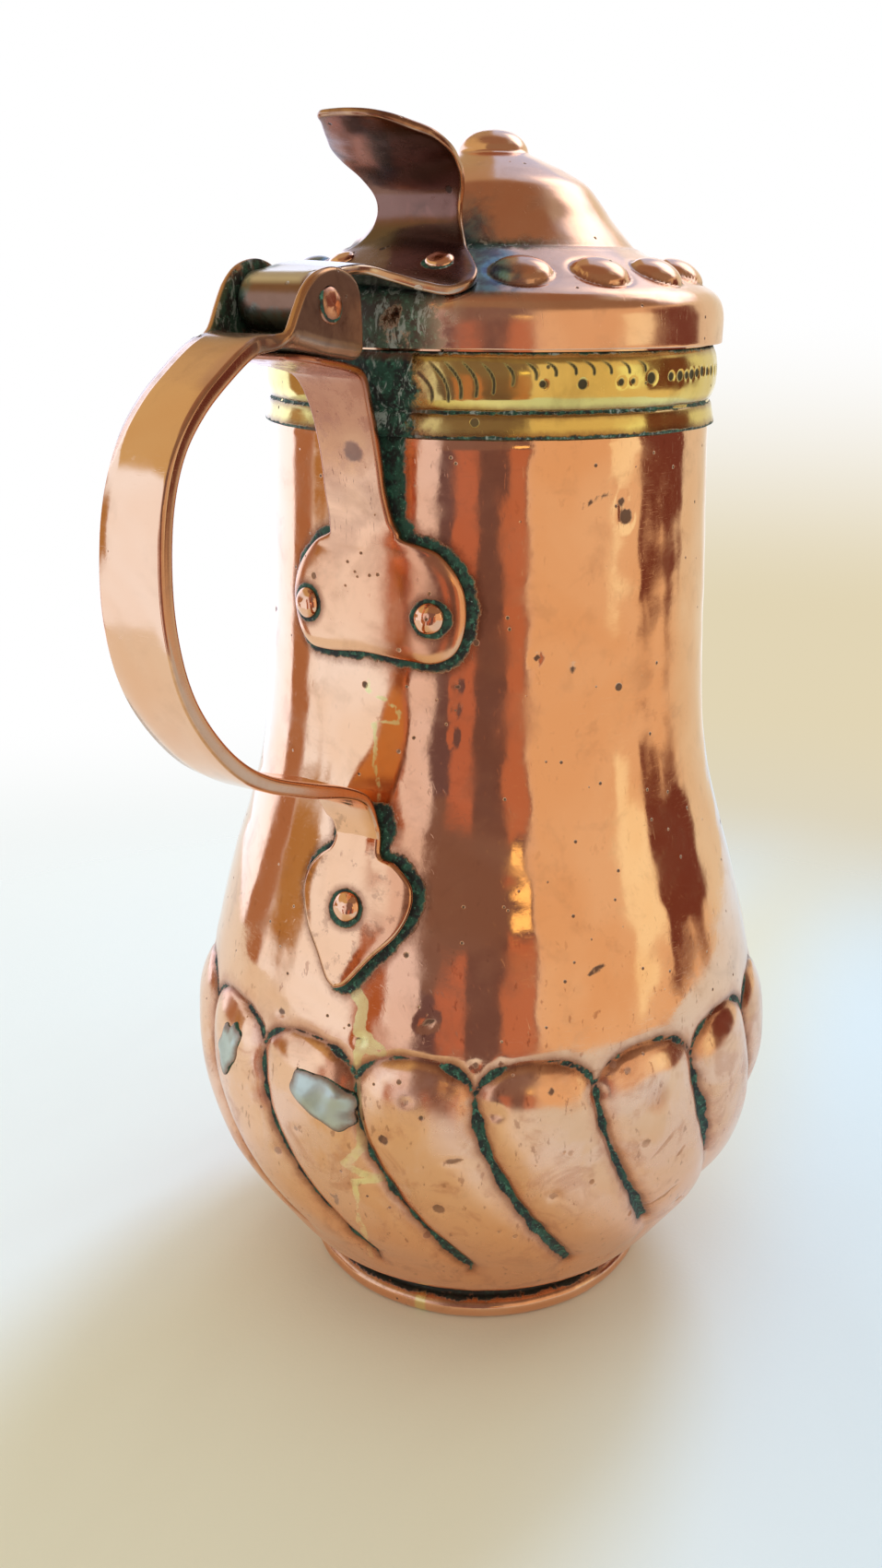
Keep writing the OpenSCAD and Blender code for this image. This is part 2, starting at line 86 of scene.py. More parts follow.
def ease(x):
    """Smooth step from 0 at 0 to 1 at 1."""
    t = np.clip(x, 0, 1)
    return t * t * (3 - 2 * t)


def bell(x, width):
    """1 at 0, falling to almost 0 at twice the width."""
    return np.exp(-((x / width) ** 2))


def waves(p, size, seed, count=14):
    """Smooth noise from plane waves about size long, between about -1 and 1."""
    r = np.random.default_rng(seed)
    d = r.normal(size=(count, p.shape[1]))
    d /= np.linalg.norm(d, axis=1, keepdims=True)
    k = d * (2 * math.pi / (size * r.uniform(0.7, 1.6, (count, 1))))
    return np.sin(p @ k.T + r.uniform(0, 6.28, count)).sum(1) / math.sqrt(count)


def distance_to(points, lines, widths=None):
    """Distance of each point from the nearest point of the lines, less the line's half width there."""
    tree = KDTree(len(lines))
    for i, q in enumerate(lines):
        tree.insert((q[0], q[1], q[2]), i)
    tree.balance()
    found = [tree.find(Vector(q)) for q in points]
    d = np.array([f[2] for f in found])
    if widths is not None:
        d = d - np.asarray(widths)[[f[1] for f in found]]
    return d


# ---------------------------------------------------------------- meshes


def close_up(mesh):
    """Merge rings shrunk to a point on the axis, close hidden openings and turn all faces outward."""
    bm = bmesh.new()
    bm.from_mesh(mesh)
    tips = [v for v in bm.verts if math.hypot(v.co.x, v.co.y) < 0.06 * MM]
    bmesh.ops.remove_doubles(bm, verts=tips, dist=0.2 * MM)
    bmesh.ops.remove_doubles(bm, verts=bm.verts[:], dist=0.0002 * MM)
    bmesh.ops.delete(bm, geom=[e for e in bm.edges if e.is_wire], context="EDGES")
    bmesh.ops.holes_fill(bm, edges=[e for e in bm.edges if e.is_boundary], sides=0)
    bmesh.ops.recalc_face_normals(bm, faces=bm.faces[:])
    bm.to_mesh(mesh)
    bm.free()


def piece(name, verts, quads=(), tris=(), material=None, attrs=None, body="jug", node=None, slot=None):
    """A smooth-shaded mesh object from arrays in millimetres."""
    verts = np.asarray(verts, float)
    quads = np.asarray(quads, int).reshape(-1, 4)
    tris = np.asarray(tris, int).reshape(-1, 3)
    mesh = bpy.data.meshes.new(name)
    mesh.vertices.add(len(verts))
    mesh.vertices.foreach_set("co", (verts * MM).ravel())
    loops = np.concatenate([quads.ravel(), tris.ravel()])
    starts = np.concatenate([np.arange(len(quads)) * 4, len(quads) * 4 + np.arange(len(tris)) * 3])
    mesh.loops.add(len(loops))
    mesh.loops.foreach_set("vertex_index", loops)
    mesh.polygons.add(len(starts))
    mesh.polygons.foreach_set("loop_start", starts)
    mesh.update(calc_edges=True)
    mesh.validate()
    for key, values in (attrs or {}).items():
        layer = mesh.attributes.new(key, "FLOAT", "POINT")
        layer.data.foreach_set("value", np.asarray(values, float))
    if body:
        close_up(mesh)
    mesh.shade_smooth()
    obj = bpy.data.objects.new(name, mesh)
    bpy.context.scene.collection.objects.link(obj)
    if material:
        mesh.materials.append(material)
    if body:
        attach(obj, body)
    if node:
        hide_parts(node)
    return obj


def ring_quads(rows, columns, first=0, wrap_rows=False):
    """Quads between rows of vertices that run round in columns."""
    n = rows if wrap_rows else rows - 1
    j, k = np.meshgrid(np.arange(n), np.arange(columns), indexing="ij")
    a = j * columns + k
    b = j * columns + (k + 1) % columns
    c = ((j + 1) % rows) * columns + (k + 1) % columns
    d = ((j + 1) % rows) * columns + k
    return np.stack([a, b, c, d], -1).reshape(-1, 4) + first


def revolve(profile, columns, shift):
    """Vertices, quads and angles of a closed profile of (radius, height) turned round Z.

    shift(angle, radius, height) says how far each point is moved out along its normal.
    """
    p = np.asarray(profile, float)
    r = np.repeat(p[:, 0], columns)
    z = np.repeat(p[:, 1], columns)
    angle = np.tile(np.linspace(0, 2 * math.pi, columns, endpoint=False), len(p))
    d = np.roll(p, -1, 0) - np.roll(p, 1, 0)
    d /= np.linalg.norm(d, axis=1, keepdims=True) + 1e-9
    normal = np.repeat(np.stack([d[:, 1], -d[:, 0]], 1), columns, 0)
    h = shift(angle, r, z)
    r = r + normal[:, 0] * h
    z = z + normal[:, 1] * h
    verts = np.stack([r * np.cos(angle), r * np.sin(angle), z], 1)
    return verts, ring_quads(len(p), columns, wrap_rows=True), angle


def fill(ring, grid):
    """Points and triangles that fill a closed 2D outline, with a slightly uneven grid of points inside."""
    lo, hi = ring.min(0), ring.max(0)
    gx, gy = np.meshgrid(np.arange(lo[0], hi[0], grid), np.arange(lo[1], hi[1], grid))
    g = np.stack([gx.ravel(), gy.ravel()], 1) + rng.uniform(-0.02, 0.02, (gx.size, 2)) * grid
    nxt = np.roll(ring, -1, 0)
    inside = np.zeros(len(g), bool)
    for (x0, y0), (x1, y1) in zip(ring, nxt):
        if y0 != y1:
            hit = (y0 > g[:, 1]) != (y1 > g[:, 1])
            cut = (x1 - x0) * (g[:, 1] - y0) / (y1 - y0) + x0
            inside ^= hit & (g[:, 0] < cut)
    if len(g) * len(ring) < EASY_PAIRS:
        inside &= np.min(np.linalg.norm(g[:, None] - ring[None], axis=2), 1) > grid * 0.55
    g = g[inside]
    n = len(ring)
    points = np.concatenate([ring, g])
    out = delaunay_2d_cdt([Vector(q) for q in points], [], [list(range(n))], 1, 1e-6)
    verts = np.array([v[:] for v in out[0]])
    # number the triangulation's points as they were given; one that it made takes the nearest one's place
    order = np.full(len(verts), -1)
    for i, origins in enumerate(out[3]):
        if origins:
            order[i] = origins[-1]
    for i in np.nonzero(order < 0)[0]:
        order[i] = np.argmin(np.linalg.norm(points - verts[i], axis=1))
    tris = np.array([f[:] for f in out[2]])
    return points, order[tris]


def sheet_piece(name, outline, place, thick, edge, grid=1.0, pillow=None, extra=None, **rest):
    """A bent sheet: a 2D outline given thickness and rounded edges, then put in place.

    place(uv) gives the points of the sheet's middle surface in millimetres.
    thick is a function of uv, and edge the height of the rounded edges. pillow(uv, distance) sinks the
    upper face near the edges. extra names more attributes, each a function of uv.
    """
    ring = even(outline, 0.7, closed=True)
    area = 0.5 * np.sum(ring[:, 0] * np.roll(ring[:, 1], -1) - np.roll(ring[:, 0], -1) * ring[:, 1])
    if area < 0:
        ring = ring[::-1]
    d = np.roll(ring, -1, 0) - np.roll(ring, 1, 0)
    d /= np.linalg.norm(d, axis=1, keepdims=True)
    inward = np.stack([-d[:, 1], d[:, 0]], 1)
    n = len(ring)
    turns = np.linspace(0, 1, 5) * math.pi / 2
    # inset, side and share of the rounding's height, from the lower face to the upper
    lower = [(edge * (1 - math.sin(a)), "low", math.cos(a)) for a in turns]
    upper = [(edge * (1 - math.cos(a)), "high", math.sin(a)) for a in turns]
    rings = [(i, -1, c) for i, _, c in lower] + [(i, 1, s) for i, _, s in upper]
    if pillow:
        rings += [(edge + k, 1, 1.0) for k in (0.5, 1.1, 1.8)]
    uv, height, dist = [], [], []
    for inset, side, share in rings:
        uv.append(ring + inward * inset)
        half = thick(uv[-1]) / 2
        flat = np.maximum(half - edge, 0)
        height.append(side * (flat + (half - flat) * share))
        dist.append(np.full(n, inset))
    core, tris = fill(uv[-1], grid)
    inner = core[n:]
    m = len(inner)
    half_in = thick(inner) / 2
    away = np.full(m, 9.0)
    if m * n < EASY_PAIRS:
        away = np.min(np.linalg.norm(inner[:, None] - ring[None], axis=2), 1)
    uv_all = np.concatenate(uv + [inner, inner])
    h_all = np.concatenate(height + [half_in, -half_in])
    dist_all = np.concatenate(dist + [away, away])
    if pillow:
        h_all = h_all - np.where(h_all > 0, pillow(uv_all, dist_all), 0)
    mid = place(uv_all)
    e = 0.05
    du = place(uv_all + [e, 0]) - place(uv_all - [e, 0])
    dv = place(uv_all + [0, e]) - place(uv_all - [0, e])
    normal = np.cross(du, dv)
    normal /= np.linalg.norm(normal, axis=1, keepdims=True) + 1e-9
    verts = mid + normal * h_all[:, None]
    count = len(rings)
    quads = ring_quads(count, n)
    top = (count - 1) * n
    up = np.where(tris < n, tris + top, tris - n + count * n)
    down = np.where(tris < n, tris, tris - n + count * n + m)
    # the fill winds anticlockwise in uv, so it faces the way of the normal
    attrs = {"edge_mm": dist_all, "side": np.sign(h_all)}
    for key, field in (extra or {}).items():
        attrs[key] = field(uv_all)
    return piece(name, verts, quads, np.concatenate([up, down[:, ::-1]]), attrs=attrs, **rest)


# ---------------------------------------------------------------- shader helpers


class Shader:
    """Short names for building one material's or the world's nodes.

    The parts p of a material are its colour, roughness, metallic and height so far, which layers change in
    turn, with the place co in millimetres and the noises mid and fine for layers to share.
    """

    def __init__(self, tree):
        self.tree = tree
        tree.nodes.clear()

    def node(self, kind, props=None, **inputs):
        """A new node. An input goes by its name, or by its number as _0, _1 and so on."""
        n = self.tree.nodes.new("ShaderNode" + kind)
        for key, value in (props or {}).items():
            setattr(n, key, value)
        for key, value in inputs.items():
            self.put(n.inputs[int(key[1:]) if key[0] == "_" else key.replace("_", " ")], value)
        return n

    def put(self, socket, value):
        if isinstance(value, bpy.types.NodeSocket):
            self.tree.links.new(value, socket)
        else:
            if isinstance(value, tuple) and len(value) == 3 and socket.type == "RGBA":
                value = (*value, 1)
            socket.default_value = value

    def math(self, op, a, b=0.0):
        return self.node("Math", {"operation": op}, _0=a, _1=b).outputs[0]

    def add(self, a, b):
        return self.math("ADD", a, b)

    def mul(self, *factors):
        out = factors[0]
        for f in factors[1:]:
            out = self.math("MULTIPLY", out, f)
        return out

    def most(self, a, b):
        return self.math("MAXIMUM", a, b)

    def step(self, x, lo, hi, a=0.0, b=1.0):
        """Smooth step from a at lo to b at hi."""
        n = self.node("MapRange", {"interpolation_type": "SMOOTHSTEP"}, _0=x, _1=lo, _2=hi, _3=a, _4=b)
        return n.outputs[0]

    def below(self, x, lo, hi):
        """1 up to lo, falling smoothly to 0 at hi."""
        return self.step(x, lo, hi, 1.0, 0.0)

    def span(self, x, lo, hi, soft):
        """1 between lo and hi, with soft ends."""
        return self.mul(self.step(x, lo - soft, lo + soft), self.below(x, hi - soft, hi + soft))

    def mix(self, f, a, b):
        return self.node("Mix", {"data_type": "RGBA"}, _0=f, _6=a, _7=b).outputs[2]

    def blend(self, f, a, b):
        return self.node("Mix", {"data_type": "FLOAT"}, _0=f, _2=a, _3=b).outputs[0]

    def attr(self, name):
        return self.node("Attribute", {"attribute_name": name}).outputs["Fac"]

    def noise(self, where, scale, detail=3.0, rough=0.5, distort=0.0):
        return self.node("TexNoise", Vector=where, Scale=scale, Detail=detail, Roughness=rough,
                         Distortion=distort).outputs["Fac"]

    def ragged(self, x, where, scale, spread, detail=4.0):
        """x made uneven by noise, by up to half of spread either way."""
        return self.add(x, self.mul(self.add(self.noise(where, scale, detail, 0.6), -0.5), spread))

    def cells(self, where, scale):
        """Distance from the nearest cell's middle, and that cell's two random numbers."""
        n = self.node("TexVoronoi", Vector=where, Scale=scale)
        split = self.node("SeparateColor", _0=n.outputs["Color"])
        return n.outputs["Distance"], split.outputs[0], split.outputs[1]

    def stretch(self, where, x, y, z):
        return self.node("VectorMath", {"operation": "MULTIPLY"}, _0=where, _1=(x, y, z)).outputs[0]

    def coordinate(self, where, axis):
        return self.node("SeparateXYZ", _0=where).outputs[axis]

    def dot(self, where, x, y):
        """How far a place is along the level direction (x, y)."""
        return self.node("VectorMath", {"operation": "DOT_PRODUCT"}, _0=where, _1=(x, y, 0)).outputs["Value"]

    def layer(self, p, mask, tone, amount=1.0, rough=None, metal=None, metal_share=1.0):
        """Lay a tone over the colour where mask is, with its own roughness and metallic if they are given."""
        p["color"] = self.mix(mask if amount == 1.0 else self.mul(mask, amount), p["color"], tone)
        if rough is not None:
            p["rough"] = self.blend(mask, p["rough"], rough)
        if metal is not None:
            p["metal"] = self.blend(mask if metal_share == 1.0 else self.mul(mask, metal_share), p["metal"], metal)

    def rougher(self, p, mask, amount):
        p["rough"] = self.add(p["rough"], self.mul(mask, amount))

    def finish(self, surface, kind="Material"):
        out = self.node("Output" + kind)
        self.tree.links.new(surface, out.inputs[0])


PIT_TONE = (0.06, 0.028, 0.018)


def metal(name, light, deep, rough, wave, spots=0.5, stain=0.35, tarnish=(0.20, 0.08, 0.05),
          grime=(), extra=None, dull=0.0):
    """Worn polished metal.

    light and deep are two tones of the metal, wave is how wavy its surface is, spots and stain say how much
    of it is pitted and clouded, and dull makes it less like bare metal. grime is a list of grime layers
    (attribute, inner, outer, wobble): full up to inner mm of the attribute, gone at outer mm.
    extra(shader, parts) adds the piece's own layers under the grime.
    """
    mat = bpy.data.materials.new(name)
    mat.use_nodes = True
    s = Shader(mat.node_tree)
    co = s.node("VectorMath", {"operation": "SCALE"},
                _0=s.node("TexCoord").outputs["Object"], Scale=1 / MM).outputs[0]
    big = s.noise(co, 0.022, 3.0, 0.55, 0.6)
    mid = s.noise(co, 0.11, 4.0, 0.6, 0.4)
    fine = s.noise(co, 0.9, 4.0, 0.65)
    color = s.mix(s.step(big, 0.36, 0.66), light, deep)
    color = s.mix(s.mul(s.step(mid, 0.52, 0.72), stain), color, tuple(c * 0.62 for c in deep))
    clouds = s.step(s.noise(co, 0.045, 5.0, 0.6, 0.8), 0.56, 0.72)
    color = s.mix(s.mul(clouds, stain * 0.8), color, tarnish)
    # pits of two sizes, in a share of the cells
    d, chance, width = s.cells(co, 0.13)
    here = s.math("GREATER_THAN", chance, 1 - 0.42 * spots)
    width = s.mul(width, 0.10)
    d = s.add(d, s.mul(s.add(fine, -0.5), 0.06))
    large = s.mul(here, s.below(d, s.add(width, 0.02), s.add(width, 0.06)))
    d, chance, _ = s.cells(co, 0.42)
    small = s.mul(s.math("GREATER_THAN", chance, 1 - 0.16 * spots), s.below(d, 0.10, 0.2))
    pits = s.most(large, small)
    color = s.mix(s.mul(pits, 0.85), color, PIT_TONE)
    # hairlines from polishing, in two directions
    level = s.noise(s.stretch(co, 0.25, 0.25, 7.0), 1.0, 2.0, 0.5)
    upright = s.noise(s.stretch(co, 3.2, 0.6, 0.35), 1.0, 2.0, 0.5)
    scratch = s.most(s.step(upright, 0.68, 0.74), s.mul(s.step(level, 0.66, 0.74), 0.5))
    roughness = s.blend(s.step(mid, 0.4, 0.7), rough, rough + 0.10)
    roughness = s.add(roughness, s.mul(s.step(fine, 0.5, 0.8), 0.05))
    roughness = s.add(roughness, s.mul(scratch, 0.10))
    roughness = s.blend(pits, roughness, 0.6)
    height = s.mul(s.noise(co, 0.06, 2.0, 0.5, 0.3), wave)
    ripple = s.noise(co, 0.22, 2.0, 0.5)
    for field, high in ((ripple, wave * 0.16), (fine, 0.006), (scratch, -0.004), (pits, -0.10)):
        height = s.add(height, s.mul(field, high))
    p = {"co": co, "mid": mid, "fine": fine, "color": color, "rough": roughness, "height": height,
         "metal": s.blend(s.mul(pits, 0.6), 1.0 - dull, 0.2)}
    if extra:
        extra(s, p)
    for attribute, inner, outer, wobble in grime:
        add_grime(s, p, s.attr(attribute), inner, outer, wobble)
    bump = s.node("Bump", Strength=1.0, Distance=0.001, Height=p["height"])
    s.finish(s.node("BsdfPrincipled", Base_Color=p["color"], Metallic=p["metal"], Roughness=p["rough"],
                    Normal=bump.outputs[0]).outputs[0])
    return mat


def grime_color(s, co):
    """Verdigris and old polish: near black at first, then green with a pale crust."""
    c = s.mix(s.step(s.noise(co, 0.35, 4.0, 0.6), 0.42, 0.58), (0.012, 0.016, 0.014), (0.020, 0.080, 0.050))
    c = s.mix(s.step(s.noise(co, 0.8, 3.0, 0.6), 0.54, 0.70), c, (0.060, 0.19, 0.12))
    c = s.mix(s.step(s.noise(co, 1.6, 3.0, 0.6), 0.64, 0.74), c, (0.24, 0.36, 0.30))
    # old polish, dried white, high up under the hinge, and plain black at the foot
    z = s.coordinate(co, 2)
    flakes = s.step(s.noise(s.stretch(co, 0.5, 0.5, 0.2), 1.0, 5.0, 0.7, 0.8), 0.53, 0.63)
    c = s.mix(s.mul(flakes, s.step(z, 217, 226), 0.85), c, (0.40, 0.44, 0.40))
    return s.mix(s.step(z, 9.5, 12.0, 0.85, 0.0), c, (0.022, 0.014, 0.010))


def add_grime(s, p, distance, inner, outer, wobble):
    """Grime up to inner mm, with a brown stain round it that is gone past outer mm."""
    co = p["co"]
    d = s.ragged(s.ragged(distance, co, 0.28, wobble * 2.6), co, 1.3, wobble * 1.2, 3.0)
    mask = s.below(d, inner, inner + (outer - inner) * 0.45)
    halo = s.below(d, inner, outer + 1.2)
    s.layer(p, halo, (0.24, 0.085, 0.045), 0.75)
    s.rougher(p, halo, 0.08)
    s.layer(p, mask, grime_color(s, co), rough=0.62, metal=0.1)
    p["height"] = s.add(p["height"], s.mul(mask, s.noise(co, 1.1, 3.0, 0.6), 0.25))


# ---------------------------------------------------------------- vessel wall

# height and radius of the wall, from the foot to the straight neck
WALL = np.array([[8.4, 43.4], [9.6, 44.6], [11.6, 48.2], [14.2, 51.8], [20.4, 56.4], [36, 64.6], [50, 70],
                 [66, 72.6], [80, 71.7], [94, 69.4], [114, 64.3], [128, 59.9], [140, 56.7], [156, 54.3],
                 [180, 53], [222, 51.5]])
NECK_Z, RIM_Z, NECK_R, WALL_T = 222, 243, 50.7, 1.6
GAP = 0.15  # between the wall and the fittings on it
# the lobes: how many, how high, how far they turn in degrees, where their points and tops are, first point's angle
LOBES, LOBE_RISE, SWIRL, CUSP_Z, LOBE_TOP, FIRST_CUSP = 16, 2.7, 22, 80.5, 89, 210
LOBE_COLUMNS = 25
GRADE = np.gradient(WALL[:, 1], WALL[:, 0])
GRADE[1:-1] = (WALL[2:, 1] - WALL[:-2, 1]) / (WALL[2:, 0] - WALL[:-2, 0])


def plain_r(z):
    """Radius of the wall without its lobes."""
    z = np.asarray(z, float)
    zc = np.clip(z, WALL[0, 0], NECK_Z)
    i = np.clip(np.searchsorted(WALL[:, 0], zc, side="right") - 1, 0, len(WALL) - 2)
    h = WALL[i + 1, 0] - WALL[i, 0]
    t = (zc - WALL[i, 0]) / h
    r = (WALL[i, 1] * (2 * t**3 - 3 * t**2 + 1) + h * GRADE[i] * (t**3 - 2 * t**2 + t)
         + WALL[i + 1, 1] * (3 * t**2 - 2 * t**3) + h * GRADE[i + 1] * (t**3 - t**2))
    return np.where(z > NECK_Z, np.maximum(NECK_R, WALL[-1, 1] - 0.35 * (z - NECK_Z)), r)


def drift(z):
    """How far the lobes have turned at height z, in degrees."""
    return SWIRL * np.clip((CUSP_Z - z) / 52, 0, 1) ** 1.6


def lobe_height(z, u):
    """Share of a lobe's height, with u from -1 to 1 across it."""
    top = CUSP_Z + (LOBE_TOP - CUSP_Z) * np.sqrt(np.maximum(0, 1 - u * u))
    side = 1 - np.abs(u) ** 2.8
    roll = 1 - (1 - np.clip((top - z) / 12, 0, 1)) ** 2.4
    return side * roll * ease((z - 17) / 26)


# angle, height, radius and depth of the larger dents
DENTS = [(244.2, 76.4, 7.5, 0.8), (213.4, 78, 2.6, 0.5), (205, 83.6, 4, 0.35), (232, 80, 3.4, 0.3),
         (203.7, 51.8, 2.0, 0.5), (224.4, 55.7, 3, 0.25), (162, 84, 3, 0.5), (196, 60, 9, 0.35),
         (229, 66, 10, 0.3), (214, 62, 11, 0.35), (247, 58, 9, 0.35), (181, 64, 9, 0.3), (175, 86, 3, 0.3),
         (300, 70, 8, 0.5), (330, 60, 10, 0.4), (20, 74, 8, 0.45), (55, 62, 11, 0.4), (95, 70, 7, 0.5),
         (130, 66, 9, 0.4), (350, 150, 12, 0.25), (70, 180, 10, 0.2)]


def dents(a, z):
    """Inward depth at angle a in degrees and height z."""
    r = plain_r(z)
    total = 0.0
    for da, dz, size, depth in DENTS:
        s = ((a - da + 180) % 360 - 180) * math.pi / 180 * r
        total = total + depth * bell(np.hypot(s, z - dz), size * 0.62)
    return total


def wall_xyz(a, z, out=0.0, lobed=True):
    """Point on the wall at angle a in degrees, moved out by out mm."""
    a = np.asarray(a, float)
    r = plain_r(z)
    if lobed:
        k = (a - FIRST_CUSP - drift(z)) / (360 / LOBES)
        r = r + LOBE_RISE * lobe_height(z, 2 * (k % 1) - 1)
    g = (plain_r(z + 0.2) - plain_r(z - 0.2)) / 0.4
    n = np.sqrt(1 + g * g)
    t = np.radians(a)
    return np.stack([(r + out / n) * np.cos(t), (r + out / n) * np.sin(t), z - out * g / n], -1)


def groove_lines():
    """Points along the chased lines between and over the lobes, and half the width of the grime there."""
    pts, wide = [], []
    ends = {0: 28, 1: 37, 2: 50, 3: 46, 13: 28, 14: 25, 15: 26}  # heights where the seen lines end
    for k in range(LOBES):
        end = ends.get(k, 27 + 8 * ((k * 7) % 5) / 4)
        z = np.arange(end, CUSP_Z - 1, 0.3)
        t = (CUSP_Z - z) / (CUSP_Z - end)
        w = {0: 0.75 + 0.45 * t, 1: 0.5 + 1.0 * t * t, 2: 0.3 + 1.1 * np.sin(t * math.pi), 15: 0.15 + 0.75 * t * t,
             14: 0.55 - 0.1 * t}.get(k, 0.4 + 0.5 * t)
        w = w + 0.28 * waves(np.stack([z, z * 0 + 9 * k], 1), 6, 61 + k) - 0.5 * ease((t - 0.93) / 0.07)
        pts.append(wall_xyz(FIRST_CUSP + k * 360 / LOBES + drift(z), z))
        wide.append(np.maximum(w, -0.25))
        u = np.linspace(-1, 1, 120)
        za = CUSP_Z + (LOBE_TOP - CUSP_Z) * np.sqrt(np.maximum(0, 1 - u * u))
        pts.append(wall_xyz(FIRST_CUSP + (k + (u + 1) / 2) * 360 / LOBES, za))
        w = -0.15 + 0.75 * ease((u - 0.15) / 0.5) + 0.45 * ease((-0.35 - u) / 0.4)
        wide.append(np.maximum(w + 0.25 * waves(np.stack([u * 12, u * 0 + 5 * k], 1), 6, 91 + k), -0.3))
    return np.concatenate(pts), np.concatenate(wide)


def on_wall_outline(outline, z, turn):
    """Offsets (across, up) from a point on the wall as angle and height."""
    o = np.asarray(outline, float)
    zz = z + o[:, 1]
    return turn + np.degrees(np.arcsin(o[:, 0] / plain_r(zz))), zz


# angle, height and half width of small dark pits on the wall
PITS = [(203.7, 51.8, 1.3), (193.8, 69.4, 1.1), (224.4, 55.7, 0.8), (214.7, 88.8, 0.5), (169, 55, 0.9),
        (227, 67.5, 0.6), (242, 65.4, 1.0), (258.4, 38, 0.9), (223.4, 83, 0.6), (210, 88.5, 0.5),
        (187.9, 90.8, 0.9), (168.9, 91.5, 0.8), (245.6, 206.4, 1.5), (244.1, 209.5, 0.7), (222.7, 177.3, 0.5),
        (231.6, 174.2, 0.6), (204.2, 171, 0.35), (203.8, 165.9, 0.2), (203.5, 159.7, 0.25),
        (241, 211.8, 0.35), (239.1, 211.2, 0.35), (237.3, 210.5, 0.35), (235.3, 209.8, 0.35),
        (233.4, 209.1, 0.35), (233, 80, 0.5), (176, 66, 0.5), (198, 80, 0.4), (236, 86, 0.7),
        (238.5, 84.5, 0.6), (190, 58, 0.4), (182, 49, 0.4), (215, 45, 0.4), (300, 90, 0.8), (320, 60, 1.0),
        (10, 110, 0.8), (45, 60, 1.1), (80, 140, 0.7), (120, 75, 1.0), (140, 180, 0.6), (335, 190, 0.7)]
# ends of scratch-like gouges: angle, height, angle, height
GOUGES = [(244, 60, 249, 66.5), (250.5, 57.5, 252, 60), (247.5, 41, 253, 47), (199.5, 97, 202, 98),
          (183.4, 50, 182.6, 45.5), (205, 66, 208, 66.8), (232, 107, 236, 109), (18, 84, 24, 88), (96, 58, 99, 63)]

# the fittings on the wall: outlines as offsets across and up from a rivet's height and an angle
LEAF_Z, LEAF_TURN, LEAF_SHIFT = 120, 182.8, 2.8
LEAF = [[0, -17.8], [-2.6, -16.2], [-6, -11], [-10, -5.5], [-12.6, 1], [-12.2, 6], [-9.4, 10], [-6.2, 12],
        [-5.6, 15.5], [-5.8, 19], [5.8, 19], [5.6, 15.5], [6.2, 12], [10, 11], [14.2, 7], [15, 2], [12.8, -4],
        [7.6, -10], [2.8, -16.2]]
PLATE_Z, PLATE_TURN, PLATE_SPREAD = 186, 181.6, 16.4
PLATE = [[-7.8, 18.5], [-8.6, 16.6], [-14.6, 13.6], [-19.6, 8], [-21.6, 1.5], [-19.8, -5.5], [-16, -9.4],
         [-10, -9.9], [0, -9], [10, -9.8], [16.6, -10], [21, -7], [22.6, 0], [21.4, 7.4], [16.6, 13.6], [9, 16.4],
         [7.8, 18.5]]


def fitting_points():
    """Points all over the fittings that lie on the wall, to measure how far the wall is from them."""
    pts = []
    for outline, z, turn in ((LEAF, LEAF_Z, LEAF_TURN), (PLATE, PLATE_Z, PLATE_TURN)):
        ring = smooth(outline, 10, True)
        for share in np.linspace(0.0, 1, 26):
            a, zz = on_wall_outline(ring * share, z, turn)
            pts.append(wall_xyz(a, zz))
    up = np.arange(200, 232, 0.5)
    for s in np.arange(-7.6, 7.7, 0.4):
        pts.append(wall_xyz(180 + 0.6 + math.degrees(math.asin(s / 52)) + 0 * up, up))
    neck = np.arange(134, 142, 0.5)
    for s in np.arange(-3.2, 8.2, 0.4):
        pts.append(wall_xyz(180 + math.degrees(math.asin(s / 57)) + 0 * neck, neck))
    return np.concatenate(pts)


# sideways, height and half width of the brazed line, None where it goes under the handle
SEAM = [[-1.9, 171, 0.35], [-1.6, 168, 0.35], [-6.6, 166.6, 0.3], [-9.8, 164, 0.35], [-9.2, 162, 0.3],
        [-3.3, 161, 0.35], [-4.1, 157.6, 0.4], [-4, 152, 0.4], [-6, 146, 0.4], [-5, 140, 0.4], None,
        [-6.8, 102, 1.4], [-9.5, 99, 1.3], [-9, 93, 1.3], [-16, 89.9, 0.5], [-15.6, 88.9, 0.4], [-9.6, 89.6, 1.1],
        [-9.3, 84.7, 0.8], [-10.8, 75, 0.9], [-11.9, 66, 1.1], [-9.6, 62.4, 0.9], [-7.2, 60.8, 0.5],
        [-9.4, 59.6, 0.7], [-15.6, 57.2, 0.8], [-9.6, 56.2, 0.5], [-10, 53, 0.7], [-9.8, 50.4, 0.3],
        [-9.0, 46, 0.1], [-8.6, 43.4, 0.7], [-8.4, 38.6, 0.8], [-6.8, 33, 0.3], [-4.6, 24, 0.5]]


def seam_points():
    """Points along the brazed line with half widths."""
    pts, wide, run = [], [], []
    for q in SEAM + [None]:
        if q is None:
            run = even(run, 0.3)
            z = run[:, 1]
            a = 180 + np.degrees(np.arcsin(-run[:, 0] / plain_r(z)))
            pts.append(wall_xyz(a, z))
            wide.append(run[:, 2])
            run = []
        else:
            run.append(q)
    return np.concatenate(pts), np.concatenate(wide)


def pit_points():
    """Dark pits and gouges as points with half widths."""
    pts, wide = [], []
    for a, z, w in PITS:
        pts.append(wall_xyz(np.array([a]), np.array([float(z)])))
        wide.append([w])
    for a0, z0, a1, z1 in GOUGES:
        t = np.linspace(0, 1, 24)
        pts.append(wall_xyz(a0 + (a1 - a0) * t, z0 + (z1 - z0) * t))
        wide.append(0.45 * np.sin(t * math.pi) ** 0.6)
    return np.concatenate(pts), np.concatenate(wide)


